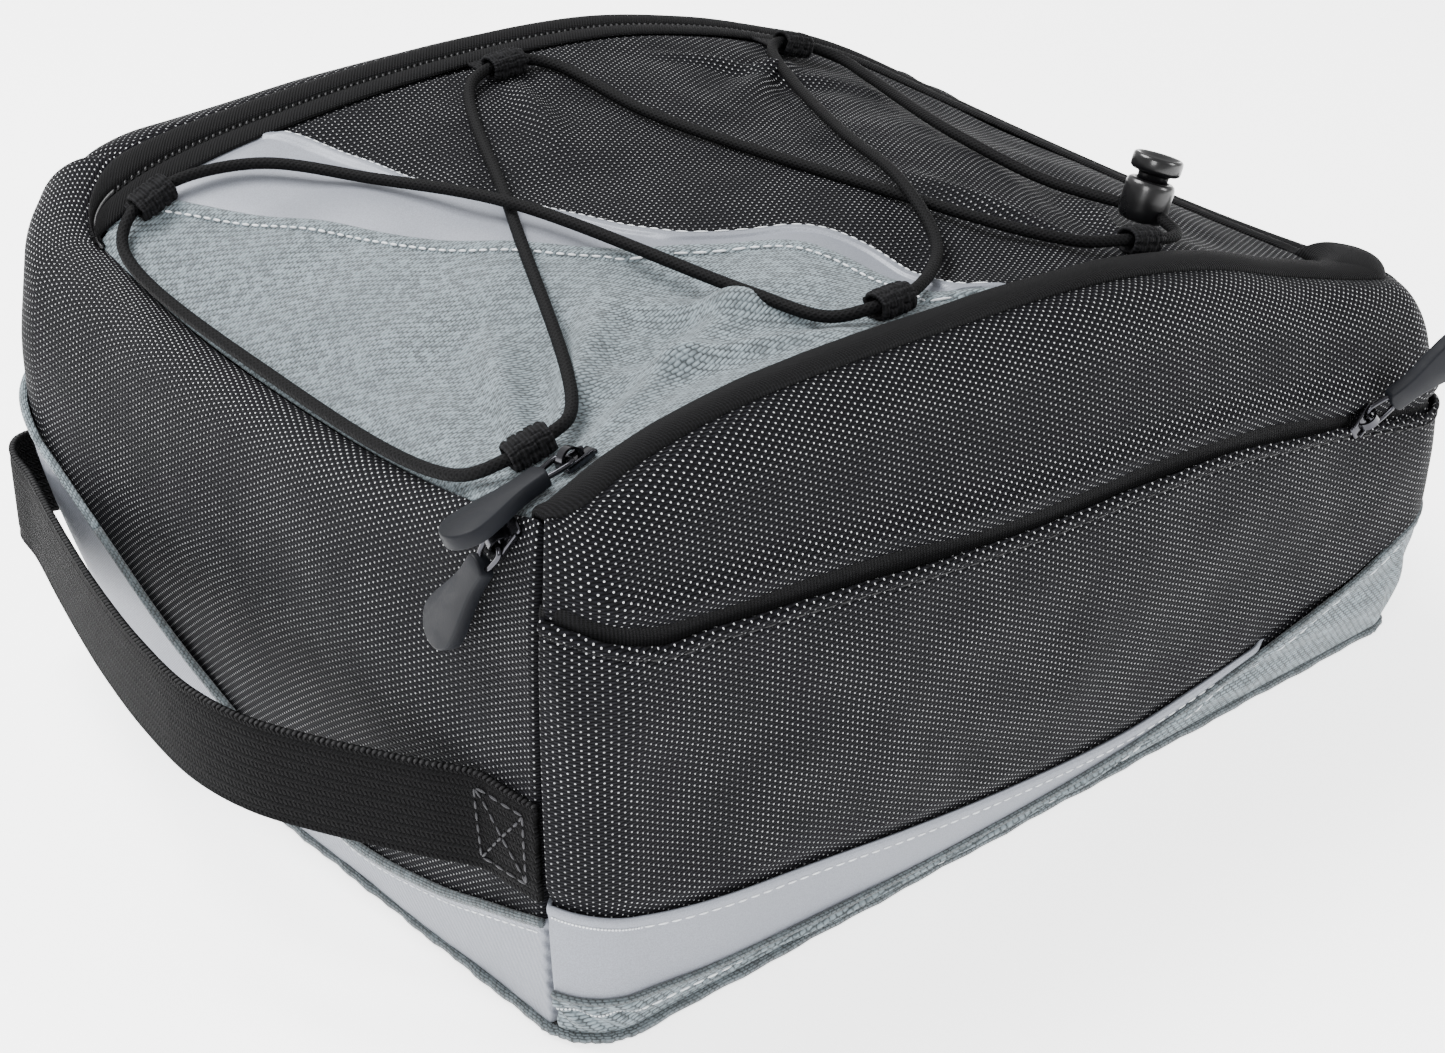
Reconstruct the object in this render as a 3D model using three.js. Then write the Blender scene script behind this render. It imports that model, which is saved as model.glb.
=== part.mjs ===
// A soft bicycle trunk bag with a zipped lid, a laced elastic cord and a webbing handle.
// Millimetres, +Z up. The origin is on the ground under the middle of the base.
// +X runs along the bag, away from the handle. -Y is the near side, which has the zipped pocket.
import * as THREE from 'three';

// Driving sizes of the bag
const length = 334;
const width = 252;
const height = 168;
const fabric = 2;
const gap = 0.35;

// Corner radii in plan: at the foot, above the height of the handle, at the top edge, and of the lid
const footRadii = { nearHandle: 16, nearPlain: 12, farPlain: 40, farHandle: 42 };
const bulgeRadii = { nearHandle: 16, nearPlain: 12, farPlain: 40, farHandle: 15 };
const topRadii = { nearHandle: 9, nearPlain: 12, farPlain: 32, farHandle: 22 };
const lidRadii = { nearHandle: 4, nearPlain: 18, farPlain: 22, farHandle: 4 };

// How far the top edge lies inside the foot, side by side
const topInset = { handle: 3, plain: 10, near: 9, far: 7 };
// Width of the zip tape or rolled flap between the top edge and the lid
const rimWidth = { handle: 0, plain: 16, near: 8.5, far: 16 };

// How far the soft corners stand off the plain rectangle
const still = { x: 0, y: 0 };
const footShifts = { nearHandle: still, nearPlain: { x: 4, y: 0 }, farPlain: { x: -6, y: 0 }, farHandle: still };
const bulgeShifts = { ...footShifts, farHandle: { x: -1, y: 15 } };
const lidShifts = { nearHandle: still, nearPlain: { x: 9, y: 0 }, farPlain: { x: -7, y: 0 }, farHandle: still };
const topShifts = { ...lidShifts, farHandle: { x: 0, y: 2 } };
// The wall passes from the foot's outline to the bulge's between these shares of its straight height
const bulgeFrom = 0.1;
const bulgeTo = 0.7;

const swell = 10;
const swellShape = 0.6;
const cornerSwell = { nearHandle: 0.45, nearPlain: 0.95, farPlain: 0.95, farHandle: 0.95 };
const shoulderHeight = 20;
const shoulderShare = 0.7;
const squareFrom = 0.8;

const basePanelThickness = 2.6;
const pipingRadius = 1.5;
const pipingStandOff = 2.2;
const wallFoot = basePanelThickness + gap;

const skinThickness = 1.1;
const pocketThickness = 1.8;
const pocketZipWidth = 6;
const pocketZipThickness = 1.3;
const trimFoot = 4.4;

const lidThickness = 1.8;
const zipTapeThickness = 1.4;
const flapCrown = 4.6;
const crownShape = 0.7;
const crownEndShare = 0.35;
const rimEndStep = 0.12;

const webbingWidth = 30;
const webbingThickness = 2;

const cordDiameter = 3.6;
const cordSteps = 80;
const loopLength = 12;
const loopWall = 1.1;
const loopWidth = 9;
const loopSlack = 0.45;

const lockRadius = 7;
const lockHeight = 13;
const buttonRadius = 6.4;
const buttonHeight = 7.5;
const plungerRadius = 4.2;
const lockLean = 20;

const pullLength = 32;
const pullWidth = 15;
const pullNeck = 8;
const pullThickness = 4.4;
const wireRadius = 0.65;
const sliderLength = 11;
const sliderWidth = 6;
const sliderPlate = 1.8;
const sliderWall = 1.2;
const bailLength = 7;
const pullBevel = 0.7;

// Where the sliders stand: shares of length and width, a rise on the wall, steps past a corner, degrees
const frontSliderAt = { along: -0.437, across: -0.393 };
const cornerSliderAt = { across: -0.405, rise: 0.84, lean: 0.25, raise: -8, lift: 0.3 };
const pocketSliderAt = { step: -0.93, turn: 50, raise: 22, lift: 0.5 };

const sideSteps = 10;
const cornerSteps = 5;

// Height of the top along the bag, as shares of height, at the near edge, the middle and the far edge
const topHeights = [
  { along: -0.5, near: 0.955, middle: 0.86, far: 0.985 },
  { along: -0.42, near: 1.01, middle: 0.93, far: 1.05 },
  { along: -0.3, near: 1.03, middle: 1.0, far: 1.07 },
  { along: -0.1, near: 1.01, middle: 1.03, far: 1.07 },
  { along: 0.08, near: 0.98, middle: 1.01, far: 1.05 },
  { along: 0.22, near: 0.92, middle: 0.95, far: 0.985 },
  { along: 0.33, near: 0.84, middle: 0.87, far: 0.91 },
  { along: 0.42, near: 0.78, middle: 0.8, far: 0.84 },
  { along: 0.5, near: 0.74, middle: 0.71, far: 0.75 },
];
const crossCurve = 2.4;

// Soft folds of the lid: ends as shares of length and width, breadth and depth as shares of height
const lidFolds = [
  { x0: -0.42, y0: -0.34, x1: -0.3, y1: 0.2, breadth: 0.09, depth: 0.014 },
  { x0: -0.4, y0: -0.4, x1: -0.1, y1: -0.12, breadth: 0.1, depth: 0.018 },
  { x0: -0.36, y0: -0.42, x1: 0.02, y1: -0.3, breadth: 0.08, depth: 0.016 },
  { x0: -0.08, y0: 0.36, x1: 0.1, y1: -0.1, breadth: 0.1, depth: 0.012 },
  { x0: 0.28, y0: 0.34, x1: 0.02, y1: 0.02, breadth: 0.12, depth: 0.014 },
  { x0: 0.2, y0: -0.4, x1: 0.38, y1: 0.1, breadth: 0.1, depth: 0.016 },
];

// Where the lid's panels meet, as shares of length, at shares of width across the bag
const lidSeams = [
  { across: -0.5, grey: 0.02, reflective: 0.04 },
  { across: -0.42, grey: -0.01, reflective: 0.005 },
  { across: -0.39, grey: -0.054, reflective: -0.03 },
  { across: -0.33, grey: -0.055, reflective: -0.03 },
  { across: -0.25, grey: -0.072, reflective: -0.032 },
  { across: -0.18, grey: -0.1, reflective: -0.06 },
  { across: -0.14, grey: -0.145, reflective: -0.105 },
  { across: -0.1, grey: -0.2, reflective: -0.155 },
  { across: 0.0, grey: -0.26, reflective: -0.195 },
  { across: 0.11, grey: -0.31, reflective: -0.222 },
  { across: 0.2, grey: -0.342, reflective: -0.25 },
  { across: 0.3, grey: -0.385, reflective: -0.265 },
  { across: 0.4, grey: -0.43, reflective: -0.295 },
  { across: 0.5, grey: -0.48, reflective: -0.37 },
];

// Top of the pocket and of the trims along a long wall, as shares of height
const longWallLines = [
  { along: -0.5, pocket: 0.8, grey: 0.1, reflective: 0.28 },
  { along: -0.44, pocket: 0.74, grey: 0.085, reflective: 0.24 },
  { along: -0.38, pocket: 0.73, grey: 0.07, reflective: 0.215 },
  { along: -0.22, pocket: 0.7, grey: 0.052, reflective: 0.17 },
  { along: -0.05, pocket: 0.66, grey: 0.05, reflective: 0.125 },
  { along: 0.1, pocket: 0.645, grey: 0.062, reflective: 0.105 },
  { along: 0.2, pocket: 0.625, grey: 0.095, reflective: 0.125 },
  { along: 0.33, pocket: 0.575, grey: 0.15, reflective: 0.162 },
  { along: 0.42, pocket: 0.535, grey: 0.2, reflective: 0.205 },
  { along: 0.5, pocket: 0.5, grey: 0.28, reflective: 0.285 },
];
const reflectiveEnd = 0.3;
const plainEndTrim = 0.285;

// Top of the reflective panel across the handle-end wall, as a share of height
const endWallLines = [
  { across: -0.5, reflective: 0.27 },
  { across: -0.4, reflective: 0.2 },
  { across: -0.28, reflective: 0.12 },
  { across: -0.08, reflective: 0.075 },
  { across: 0.12, reflective: 0.15 },
  { across: 0.28, reflective: 0.26 },
  { across: 0.4, reflective: 0.395 },
  { across: 0.5, reflective: 0.53 },
];

// The free part of the webbing handle seen from above: how far it stands out of the handle end,
// as shares of width
const handleRoute = [
  { across: -0.31, out: 0.075 },
  { across: -0.2, out: 0.13 },
  { across: -0.12, out: 0.156 },
  { across: -0.03, out: 0.17 },
  { across: 0.09, out: 0.16 },
  { across: 0.22, out: 0.136 },
  { across: 0.32, out: 0.112 },
  { across: 0.41, out: 0.088 },
  { across: 0.51, out: 0.06 },
  { across: 0.575, out: 0.046 },
  { across: 0.602, out: 0.024 },
  { across: 0.606, out: -0.006 },
  { across: 0.598, out: -0.034 },
];
const handleHeight = 0.37;
// Where the strap is sewn flat: shares of width across the handle end, and station steps past the far side
const handleSewn = [-0.445, -0.41, -0.375, -0.365];
const handleFoldedBack = [0.8, 0.5, 0.2];
const foldedStandOff = 2.2;

// The elastic cord's middle line, chosen by hand: out of the lock, through the six loops and back.
// Each row is a place seen from above, as shares of length and width, and the height over the lid.
const cordRoute = [
  { along: 0.2662, across: -0.2802, lift: 6.2 },
  { along: 0.2509, across: -0.1706, lift: 3.3 },
  { along: 0.247, across: -0.0159, lift: 3.1 },
  { along: 0.3174, across: 0.2381, lift: 3 },
  { along: 0.3338, across: 0.3175, lift: 3.4 },
  { along: 0.3099, across: 0.3492, lift: 4.5 },
  { along: 0.271, across: 0.3492, lift: 4.5 },
  { along: 0.247, across: 0.3274, lift: 3.4 },
  { along: 0.1916, across: 0.2063, lift: 3.1 },
  { along: 0.1138, across: 0., lift: 3.7 },
  { along: 0.0509, across: -0.1905, lift: 7 },
  { along: 0., across: -0.3175, lift: 3.6 },
  { along: -0.0928, across: -0.4008, lift: 4.5 },
  { along: -0.1347, across: -0.4008, lift: 4.5 },
  { along: -0.1617, across: -0.373, lift: 3.4 },
  { along: -0.1841, across: -0.2778, lift: 3.3 },
  { along: -0.2425, across: 0.0397, lift: 7 },
  { along: -0.2874, across: 0.2302, lift: 3.2 },
  { along: -0.3473, across: 0.3492, lift: 3.1 },
  { along: -0.4177, across: 0.3849, lift: 4.5 },
  { along: -0.4611, across: 0.3849, lift: 4.5 },
  { along: -0.485, across: 0.3571, lift: 3.4 },
  { along: -0.4895, across: 0.0397, lift: 3.2 },
  { along: -0.4862, across: -0.2857, lift: 3.3 },
  { along: -0.4629, across: -0.3278, lift: 4.5 },
  { along: -0.4234, across: -0.3389, lift: 4.5 },
  { along: -0.3922, across: -0.3175, lift: 3.2 },
  { along: -0.2425, across: 0.0397, lift: 2.9 },
  { along: -0.1198, across: 0.3373, lift: 3.3 },
  { along: -0.0853, across: 0.3611, lift: 4.5 },
  { along: -0.0464, across: 0.3611, lift: 4.5 },
  { along: -0.0225, across: 0.3333, lift: 3.3 },
  { along: -0.012, across: 0.1587, lift: 2.9 },
  { along: 0.0509, across: -0.1905, lift: 2.9 },
  { along: 0.0958, across: -0.3413, lift: 3 },
  { along: 0.1257, across: -0.3869, lift: 3.3 },
  { along: 0.1662, across: -0.4008, lift: 4.5 },
  { along: 0.2051, across: -0.4008, lift: 4.5 },
  { along: 0.2485, across: -0.3849, lift: 4.6 },
  { along: 0.2659, across: -0.3397, lift: 6.2 },
];

// The cord loops, each between two rows of the cord's route, counted from 0
const cordLoops = [
  { name: 'cord_loop_far_plain', row: 5 },
  { name: 'cord_loop_near_middle', row: 12 },
  { name: 'cord_loop_far_handle', row: 19 },
  { name: 'cord_loop_near_handle', row: 24 },
  { name: 'cord_loop_far_middle', row: 29 },
  { name: 'cord_loop_near_plain', row: 36 },
];

const colours = {
  blackFabric: new THREE.MeshStandardMaterial({ color: 0x2b2b2e, roughness: 0.8 }),
  greyFabric: new THREE.MeshStandardMaterial({ color: 0x8f9ca3, roughness: 0.85 }),
  reflective: new THREE.MeshStandardMaterial({ color: 0xb4b8bf, roughness: 0.45 }),
  webbing: new THREE.MeshStandardMaterial({ color: 0x1d1d1f, roughness: 0.9 }),
  rubber: new THREE.MeshStandardMaterial({ color: 0x33363a, roughness: 0.7 }),
  metal: new THREE.MeshStandardMaterial({ color: 0x1a1a1c, roughness: 0.35, metalness: 0.8 }),
  plastic: new THREE.MeshStandardMaterial({ color: 0x141416, roughness: 0.4 }),
};

const group = new THREE.Group();
const clamp = (value, low, high) => Math.min(Math.max(value, low), high);
const radians = (degrees) => degrees * Math.PI / 180;
const mix = (a, b, share) => a + (b - a) * share;

// A smooth curve through one column of a table, over its key column
function tableValue(table, key, column, at) {
  const last = table.length - 1;
  const place = clamp(at, table[0][key], table[last][key]);
  let row = 0;
  while (row < last - 1 && place > table[row + 1][key]) row += 1;
  const slope = (k) => {
    const before = table[Math.max(k - 1, 0)];
    const after = table[Math.min(k + 1, last)];
    return (after[column] - before[column]) / (after[key] - before[key]);
  };
  const span = table[row + 1][key] - table[row][key];
  const t = (place - table[row][key]) / span;
  const rise = t * t * (3 - 2 * t);
  return table[row][column] * (1 - rise) + table[row + 1][column] * rise
    + span * t * (1 - t) * ((1 - t) * slope(row) - t * slope(row + 1));
}

// How deep the lid's folds are at a point, seen from above
function foldDepth(x, y) {
  let depth = 0;
  for (const fold of lidFolds) {
    const start = new THREE.Vector2(fold.x0 * length, fold.y0 * width);
    const run = new THREE.Vector2(fold.x1 * length, fold.y1 * width).sub(start);
    const offset = new THREE.Vector2(x, y).sub(start);
    const share = clamp(offset.dot(run) / run.lengthSq(), 0, 1);
    const away = offset.addScaledVector(run, -share).length() / (fold.breadth * height);
    depth += fold.depth * height * Math.sin(Math.PI * mix(0.12, 0.88, share)) * Math.exp(-away * away);
  }
  return depth;
}

// Height of the bag's top at a point seen from above
function topHeight(x, y) {
  const along = x / length;
  const across = clamp(2 * y / width, -1, 1);
  const near = tableValue(topHeights, 'along', 'near', along);
  const middle = tableValue(topHeights, 'along', 'middle', along);
  const far = tableValue(topHeights, 'along', 'far', along);
  const tilt = (far - near) / 2;
  const dish = (far + near) / 2 - middle;
  return height * (middle + tilt * across + dish * Math.abs(across) ** crossCurve);
}

const lidHeight = (x, y) => topHeight(x, y) - foldDepth(x, y);

// A rounded rectangle seen from above, as stations that run round it against the clock.
// It starts at the near corner of the handle end. Rings made this way match station by station.
// Each station also says how much of the swell it gets.
function ring(sides, radii, shifts) {
  const stations = [];
  const corners = [
    { name: 'nearHandle', x: sides.left, y: sides.near, from: 180 },
    { name: 'nearPlain', x: sides.right, y: sides.near, from: 270 },
    { name: 'farPlain', x: sides.right, y: sides.far, from: 0 },
    { name: 'farHandle', x: sides.left, y: sides.far, from: 90 },
  ].map(({ name, x, y, from }) => ({
    r: radii[name],
    cx: x + shifts[name].x + (x === sides.left ? radii[name] : -radii[name]),
    cy: y + shifts[name].y + (y === sides.near ? radii[name] : -radii[name]),
    from,
    swells: cornerSwell[name],
  }));
  corners.forEach((corner, index) => {
    for (let k = 0; k <= cornerSteps; k += 1) {
      const angle = radians(corner.from + 90 * k / cornerSteps);
      const nx = Math.cos(angle);
      const ny = Math.sin(angle);
      stations.push({
        x: corner.cx + corner.r * nx, y: corner.cy + corner.r * ny, nx, ny, swells: corner.swells,
      });
    }
    const start = stations[stations.length - 1];
    const next = corners[(index + 1) % 4];
    const endAngle = radians(next.from);
    const end = { x: next.cx + next.r * Math.cos(endAngle), y: next.cy + next.r * Math.sin(endAngle) };
    for (let k = 1; k < sideSteps; k += 1) {
      const share = k / sideSteps;
      stations.push({
        x: mix(start.x, end.x, share),
        y: mix(start.y, end.y, share),
        nx: start.nx,
        ny: start.ny,
        swells: mix(mix(corner.swells, next.swells, share), 1, Math.sin(Math.PI * share)),
      });
    }
  });
  return stations;
}

const footSides = { left: -length / 2, right: length / 2, near: -width / 2, far: width / 2 };
const footRing = ring(footSides, footRadii, footShifts);
const bulgeRing = ring(footSides, bulgeRadii, bulgeShifts);
const topSides = {
  left: -length / 2 + topInset.handle,
  right: length / 2 - topInset.plain,
  near: -width / 2 + topInset.near,
  far: width / 2 - topInset.far,
};
const topRing = ring(topSides, topRadii, topShifts);
const lidSides = {
  left: topSides.left + rimWidth.handle + gap,
  right: topSides.right - rimWidth.plain - gap,
  near: topSides.near + rimWidth.near + gap,
  far: topSides.far - rimWidth.far - gap,
};
const stationCount = 4 * (cornerSteps + sideSteps);
const block = cornerSteps + sideSteps;
// Station numbers of the corners' ends
const nearSideStart = cornerSteps;
const nearSideEnd = block;
const plainSideStart = block + cornerSteps;
const plainSideEnd = 2 * block;
const farSideStart = 2 * block + cornerSteps;
const farSideEnd = 3 * block;
const handleSideStart = 3 * block + cornerSteps;
const nearHandleCorner = cornerSteps / 2;
// The seam between the handle end and the near wall lies at the start of their corner
const nearSeam = 0.15 * cornerSteps;

// A station at any place along a ring, also between two numbers
function stationAt(stations, place) {
  const wrapped = ((place % stationCount) + stationCount) % stationCount;
  const low = Math.floor(wrapped);
  const share = wrapped - low;
  const a = stations[low];
  const b = stations[(low + 1) % stationCount];
  const result = {};
  for (const key of ['x', 'y', 'nx', 'ny', 'swells']) result[key] = mix(a[key], b[key], share);
  return result;
}

// The step along a ring that moves by half the gap between two pieces
function halfGapStep(place) {
  const a = stationAt(footRing, place - 0.5);
  const b = stationAt(footRing, place + 0.5);
  return gap / 2 / Math.hypot(b.x - a.x, b.y - a.y);
}

// A point of the bag's outer face: rise is 0 at the foot, shoulderShare at the shoulder, 1 at the top edge
function wallPoint(place, rise) {
  const foot = stationAt(footRing, place);
  const bulge = stationAt(bulgeRing, place);
  const top = stationAt(topRing, place);
  const spread = THREE.MathUtils.smoothstep(rise / shoulderShare, bulgeFrom, bulgeTo);
  const topZ = topHeight(top.x, top.y);
  const shoulderZ = topZ - shoulderHeight;
  let z = mix(wallFoot, shoulderZ, rise / shoulderShare);
  let curl = 0;
  if (rise > shoulderShare) {
    const angle = (rise - shoulderShare) / (1 - shoulderShare) * Math.PI / 2;
    z = shoulderZ + shoulderHeight * Math.sin(angle);
    curl = 1 - Math.cos(angle);
  }
  const level = clamp((z - wallFoot) / (topZ - wallFoot), 0, 1);
  const out = swell * foot.swells * Math.sin(Math.PI * level) ** swellShape;
  return new THREE.Vector3(
    mix(mix(foot.x, bulge.x, spread), top.x, curl) + foot.nx * out,
    mix(mix(foot.y, bulge.y, spread), top.y, curl) + foot.ny * out,
    z,
  );
}

// The rise at which the wall reaches a height, below the shoulder
function riseAt(place, z) {
  const top = stationAt(topRing, place);
  const shoulderZ = topHeight(top.x, top.y) - shoulderHeight;
  return clamp(shoulderShare * (z - wallFoot) / (shoulderZ - wallFoot), 0, shoulderShare);
}

// A point that stands off the bag's outer face by a distance, or lies inside it if that is negative
function offWall(place, rise, distance) {
  const step = 0.04;
  const along = wallPoint(place + 0.5, rise).sub(wallPoint(place - 0.5, rise));
  const up = wallPoint(place, Math.min(rise + step, 1)).sub(wallPoint(place, Math.max(rise - step, 0)));
  const normal = along.cross(up).normalize();
  // At the top edge the cloth ends square, facing the zip tape
  normal.lerp(new THREE.Vector3(0, 0, 1), THREE.MathUtils.smoothstep(rise, squareFrom, 1)).normalize();
  return wallPoint(place, rise).addScaledVector(normal, distance);
}

// A closed solid between two matching grids. i x j points out of the outer one.
function slab(outer, inner, wraps = false) {
  const rows = outer.length;
  const columns = outer[0].length;
  const positions = [];
  for (const grid of [outer, inner]) {
    for (const line of grid) for (const p of line) positions.push(p.x, p.y, p.z);
  }
  const indices = [];
  const at = (layer, i, j) => layer * rows * columns + (i % rows) * columns + j;
  const quad = (a, b, c, d) => indices.push(a, b, c, a, c, d);
  const lastRow = wraps ? rows : rows - 1;
  for (let i = 0; i < lastRow; i += 1) {
    for (let j = 0; j < columns - 1; j += 1) {
      quad(at(0, i, j), at(0, i + 1, j), at(0, i + 1, j + 1), at(0, i, j + 1));
      quad(at(1, i, j), at(1, i, j + 1), at(1, i + 1, j + 1), at(1, i + 1, j));
    }
    quad(at(0, i, 0), at(1, i, 0), at(1, i + 1, 0), at(0, i + 1, 0));
    const edge = columns - 1;
    quad(at(0, i, edge), at(0, i + 1, edge), at(1, i + 1, edge), at(1, i, edge));
  }
  if (!wraps) {
    for (let j = 0; j < columns - 1; j += 1) {
      const end = rows - 1;
      quad(at(0, 0, j), at(0, 0, j + 1), at(1, 0, j + 1), at(1, 0, j));
      quad(at(0, end, j), at(1, end, j), at(1, end, j + 1), at(0, end, j + 1));
    }
  }
  const geometry = new THREE.BufferGeometry();
  geometry.setAttribute('position', new THREE.Float32BufferAttribute(positions, 3));
  geometry.setIndex(indices);
  return geometry;
}

function add(name, geometry, material, parent = group) {
  const mesh = new THREE.Mesh(geometry, material);
  mesh.name = name;
  parent.add(mesh);
  return mesh;
}

// Station places from one end to the other: both ends, each whole station between, and any extra place
function placesBetween(from, to, extra = []) {
  const places = [from, to, ...extra.filter((place) => place > from && place < to)];
  for (let k = Math.floor(from) + 1; k < to; k += 1) places.push(k);
  return [...new Set(places)].sort((a, b) => a - b);
}

const panelFrom = (place) => place + halfGapStep(place);
const panelTo = (place) => place - halfGapStep(place);

// Rises of the rows of a wall panel
const wallRows = [0, 0.12, 0.26, 0.4, 0.54, 0.64, 0.7, 0.775, 0.85, 0.925, 1];

function wallPanel(name, from, to) {
  const places = placesBetween(panelFrom(from), panelTo(to));
  const face = (distance) => places.map((place) => wallRows.map((rise) => offWall(place, rise, distance)));
  add(name, slab(face(0), face(-fabric)), colours.blackFabric);
}

// A skin on the outside of a wall, between two heights that are functions of the place
function wallSkin(name, material, from, to, lowZ, highZ, thickness, rows) {
  const places = placesBetween(from, to, stripEnds);
  const face = (distance) => places.map((place) => {
    const low = riseAt(place, lowZ(place));
    const high = riseAt(place, highZ(place));
    return Array.from({ length: rows + 1 }, (_, k) => offWall(place, mix(low, high, k / rows), distance));
  });
  add(name, slab(face(gap + thickness), face(gap)), material);
}

function makeWalls() {
  wallPanel('near_wall', nearSeam, plainSideStart);
  wallPanel('plain_end_wall', plainSideStart, plainSideEnd);
  wallPanel('far_wall', plainSideEnd, farSideEnd);
  wallPanel('handle_end_wall', farSideEnd, stationCount + nearSeam);
}

function makeBase() {
  const outline = footRing.map((s) => [s.x - s.nx * gap, s.y - s.ny * gap]);
  const shape = new THREE.Shape(outline.map(([x, y]) => new THREE.Vector2(x, y)));
  const panel = new THREE.ExtrudeGeometry(shape, { depth: basePanelThickness, bevelEnabled: false });
  add('base_panel', panel, colours.blackFabric);
  const sides = 6;
  const tube = footRing.map((s) => Array.from({ length: sides }, (_, k) => {
    const angle = radians(-360 * k / sides);
    const out = pipingStandOff + pipingRadius * Math.cos(angle);
    const z = pipingStandOff + pipingRadius * Math.sin(angle);
    return new THREE.Vector3(s.x + s.nx * out, s.y + s.ny * out, z);
  }));
  add('base_piping', closedTube(tube), colours.greyFabric);
}

// A tube whose sections follow each other round a closed loop
function closedTube(sections) {
  const rows = sections.length;
  const sides = sections[0].length;
  const positions = [];
  for (const line of sections) for (const p of line) positions.push(p.x, p.y, p.z);
  const indices = [];
  for (let i = 0; i < rows; i += 1) {
    for (let k = 0; k < sides; k += 1) {
      const a = i * sides + k;
      const b = ((i + 1) % rows) * sides + k;
      const c = ((i + 1) % rows) * sides + (k + 1) % sides;
      const d = i * sides + (k + 1) % sides;
      indices.push(a, c, b, a, d, c);
    }
  }
  const geometry = new THREE.BufferGeometry();
  geometry.setAttribute('position', new THREE.Float32BufferAttribute(positions, 3));
  geometry.setIndex(indices);
  return geometry;
}

const lineOnLongWall = (column) => (place) => (
  height * tableValue(longWallLines, 'along', column, stationAt(footRing, place).x / length)
);
const lineOnEndWall = (place) => (
  height * tableValue(endWallLines, 'across', 'reflective', stationAt(footRing, place).y / width)
);

// The reflective strips narrow to nothing, so they stop where they are still wide enough to be a piece
const sharePlace = (start, end) => start
  + sideSteps * (reflectiveEnd * length - footRing[start].x) / (footRing[end].x - footRing[start].x);
const stripEnds = [
  sharePlace(nearSideStart, nearSideEnd),
  sharePlace(farSideStart, farSideEnd),
];

function makeTrims() {
  const seam = 2 * gap;
  const near = { from: panelFrom(nearSeam), to: panelTo(plainSideStart) };
  const far = { from: panelFrom(plainSideEnd), to: panelTo(farSideEnd) };
  const foot = () => trimFoot;
  const grey = lineOnLongWall('grey');
  const reflective = lineOnLongWall('reflective');
  const pocket = lineOnLongWall('pocket');
  const stripTop = (place) => Math.max(reflective(place), grey(place) + seam);

  wallSkin('foot_trim_near', colours.greyFabric, near.from, near.to, foot, grey, skinThickness, 4);
  wallSkin('reflective_near', colours.reflective, near.from, stripEnds[0],
    (place) => grey(place) + gap, (place) => stripTop(place), skinThickness, 2);
  wallSkin('pocket_panel', colours.blackFabric, near.from, near.to,
    (place) => stripTop(place) + gap, pocket, pocketThickness, 5);
  wallSkin('pocket_zip', colours.webbing, near.from, near.to,
    (place) => pocket(place) + gap, (place) => pocket(place) + gap + pocketZipWidth, pocketZipThickness, 1);

  wallSkin('foot_trim_far', colours.greyFabric, far.from, far.to, foot, grey, skinThickness, 2);
  wallSkin('reflective_far', colours.reflective, stripEnds[1], far.to,
    (place) => grey(place) + gap, (place) => stripTop(place), skinThickness, 2);
  wallSkin('foot_trim_plain_end', colours.greyFabric, panelFrom(plainSideStart), panelTo(plainSideEnd),
    foot, () => plainEndTrim * height, skinThickness, 4);
  wallSkin('reflective_handle_end', colours.reflective, panelFrom(farSideEnd),
    panelTo(stationCount + nearSeam), foot, lineOnEndWall, skinThickness, 3);
}

// Where a lid row starts or ends, with the corners rounded
function cornerCut(y, sides, nearRadius, farRadius) {
  const nearDepth = nearRadius - (y - sides.near);
  const farDepth = farRadius - (sides.far - y);
  if (nearDepth > 0) return nearRadius - Math.sqrt(Math.max(nearRadius ** 2 - nearDepth ** 2, 0));
  if (farDepth > 0) return farRadius - Math.sqrt(Math.max(farRadius ** 2 - farDepth ** 2, 0));
  return 0;
}

const lidStart = (y) => lidSides.left + cornerCut(y, lidSides, lidRadii.nearHandle, lidRadii.farHandle);
const lidEnd = (y) => {
  const start = lidSides.near + lidRadii.nearPlain;
  const share = clamp((y - start) / (lidSides.far - lidRadii.farPlain - start), 0, 1);
  const side = lidSides.right + mix(lidShifts.nearPlain.x, lidShifts.farPlain.x, share);
  return side - cornerCut(y, lidSides, lidRadii.nearPlain, lidRadii.farPlain);
};
const lidSeam = (column) => (y) => length * tableValue(lidSeams, 'across', column, y / width);

function lidRows() {
  const rows = 20;
  const list = [];
  for (let k = 0; k <= rows; k += 1) {
    const share = (1 - Math.cos(Math.PI * k / rows)) / 2;
    list.push(mix(lidSides.near, lidSides.far, mix(k / rows, share, 0.55)));
  }
  return list;
}

function lidPanel(name, material, startX, endX, columns) {
  const rows = lidRows();
  const face = Array.from({ length: columns + 1 }, (_, i) => rows.map((y) => {
    const x = mix(startX(y), endX(y), i / columns);
    return new THREE.Vector3(x, y, lidHeight(x, y));
  }));
  const inner = face.map((line) => line.map((p) => p.clone().setZ(p.z - lidThickness)));
  add(name, slab(face, inner), material);
}

function makeLid() {
  const grey = lidSeam('grey');
  const reflective = lidSeam('reflective');
  lidPanel('lid_panel_grey', colours.greyFabric, lidStart, (y) => grey(y) - gap / 2, 9);
  lidPanel('lid_reflective', colours.reflective, (y) => grey(y) + gap / 2, (y) => reflective(y) - gap / 2, 2);
  lidPanel('lid_panel_black', colours.blackFabric, (y) => reflective(y) + gap / 2, lidEnd, 16);
}

const rimRing = ring(
  {
    left: lidSides.left - gap,
    right: lidSides.right + gap,
    near: lidSides.near - gap,
    far: lidSides.far + gap,
  },
  lidRadii,
  lidShifts,
);

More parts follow.
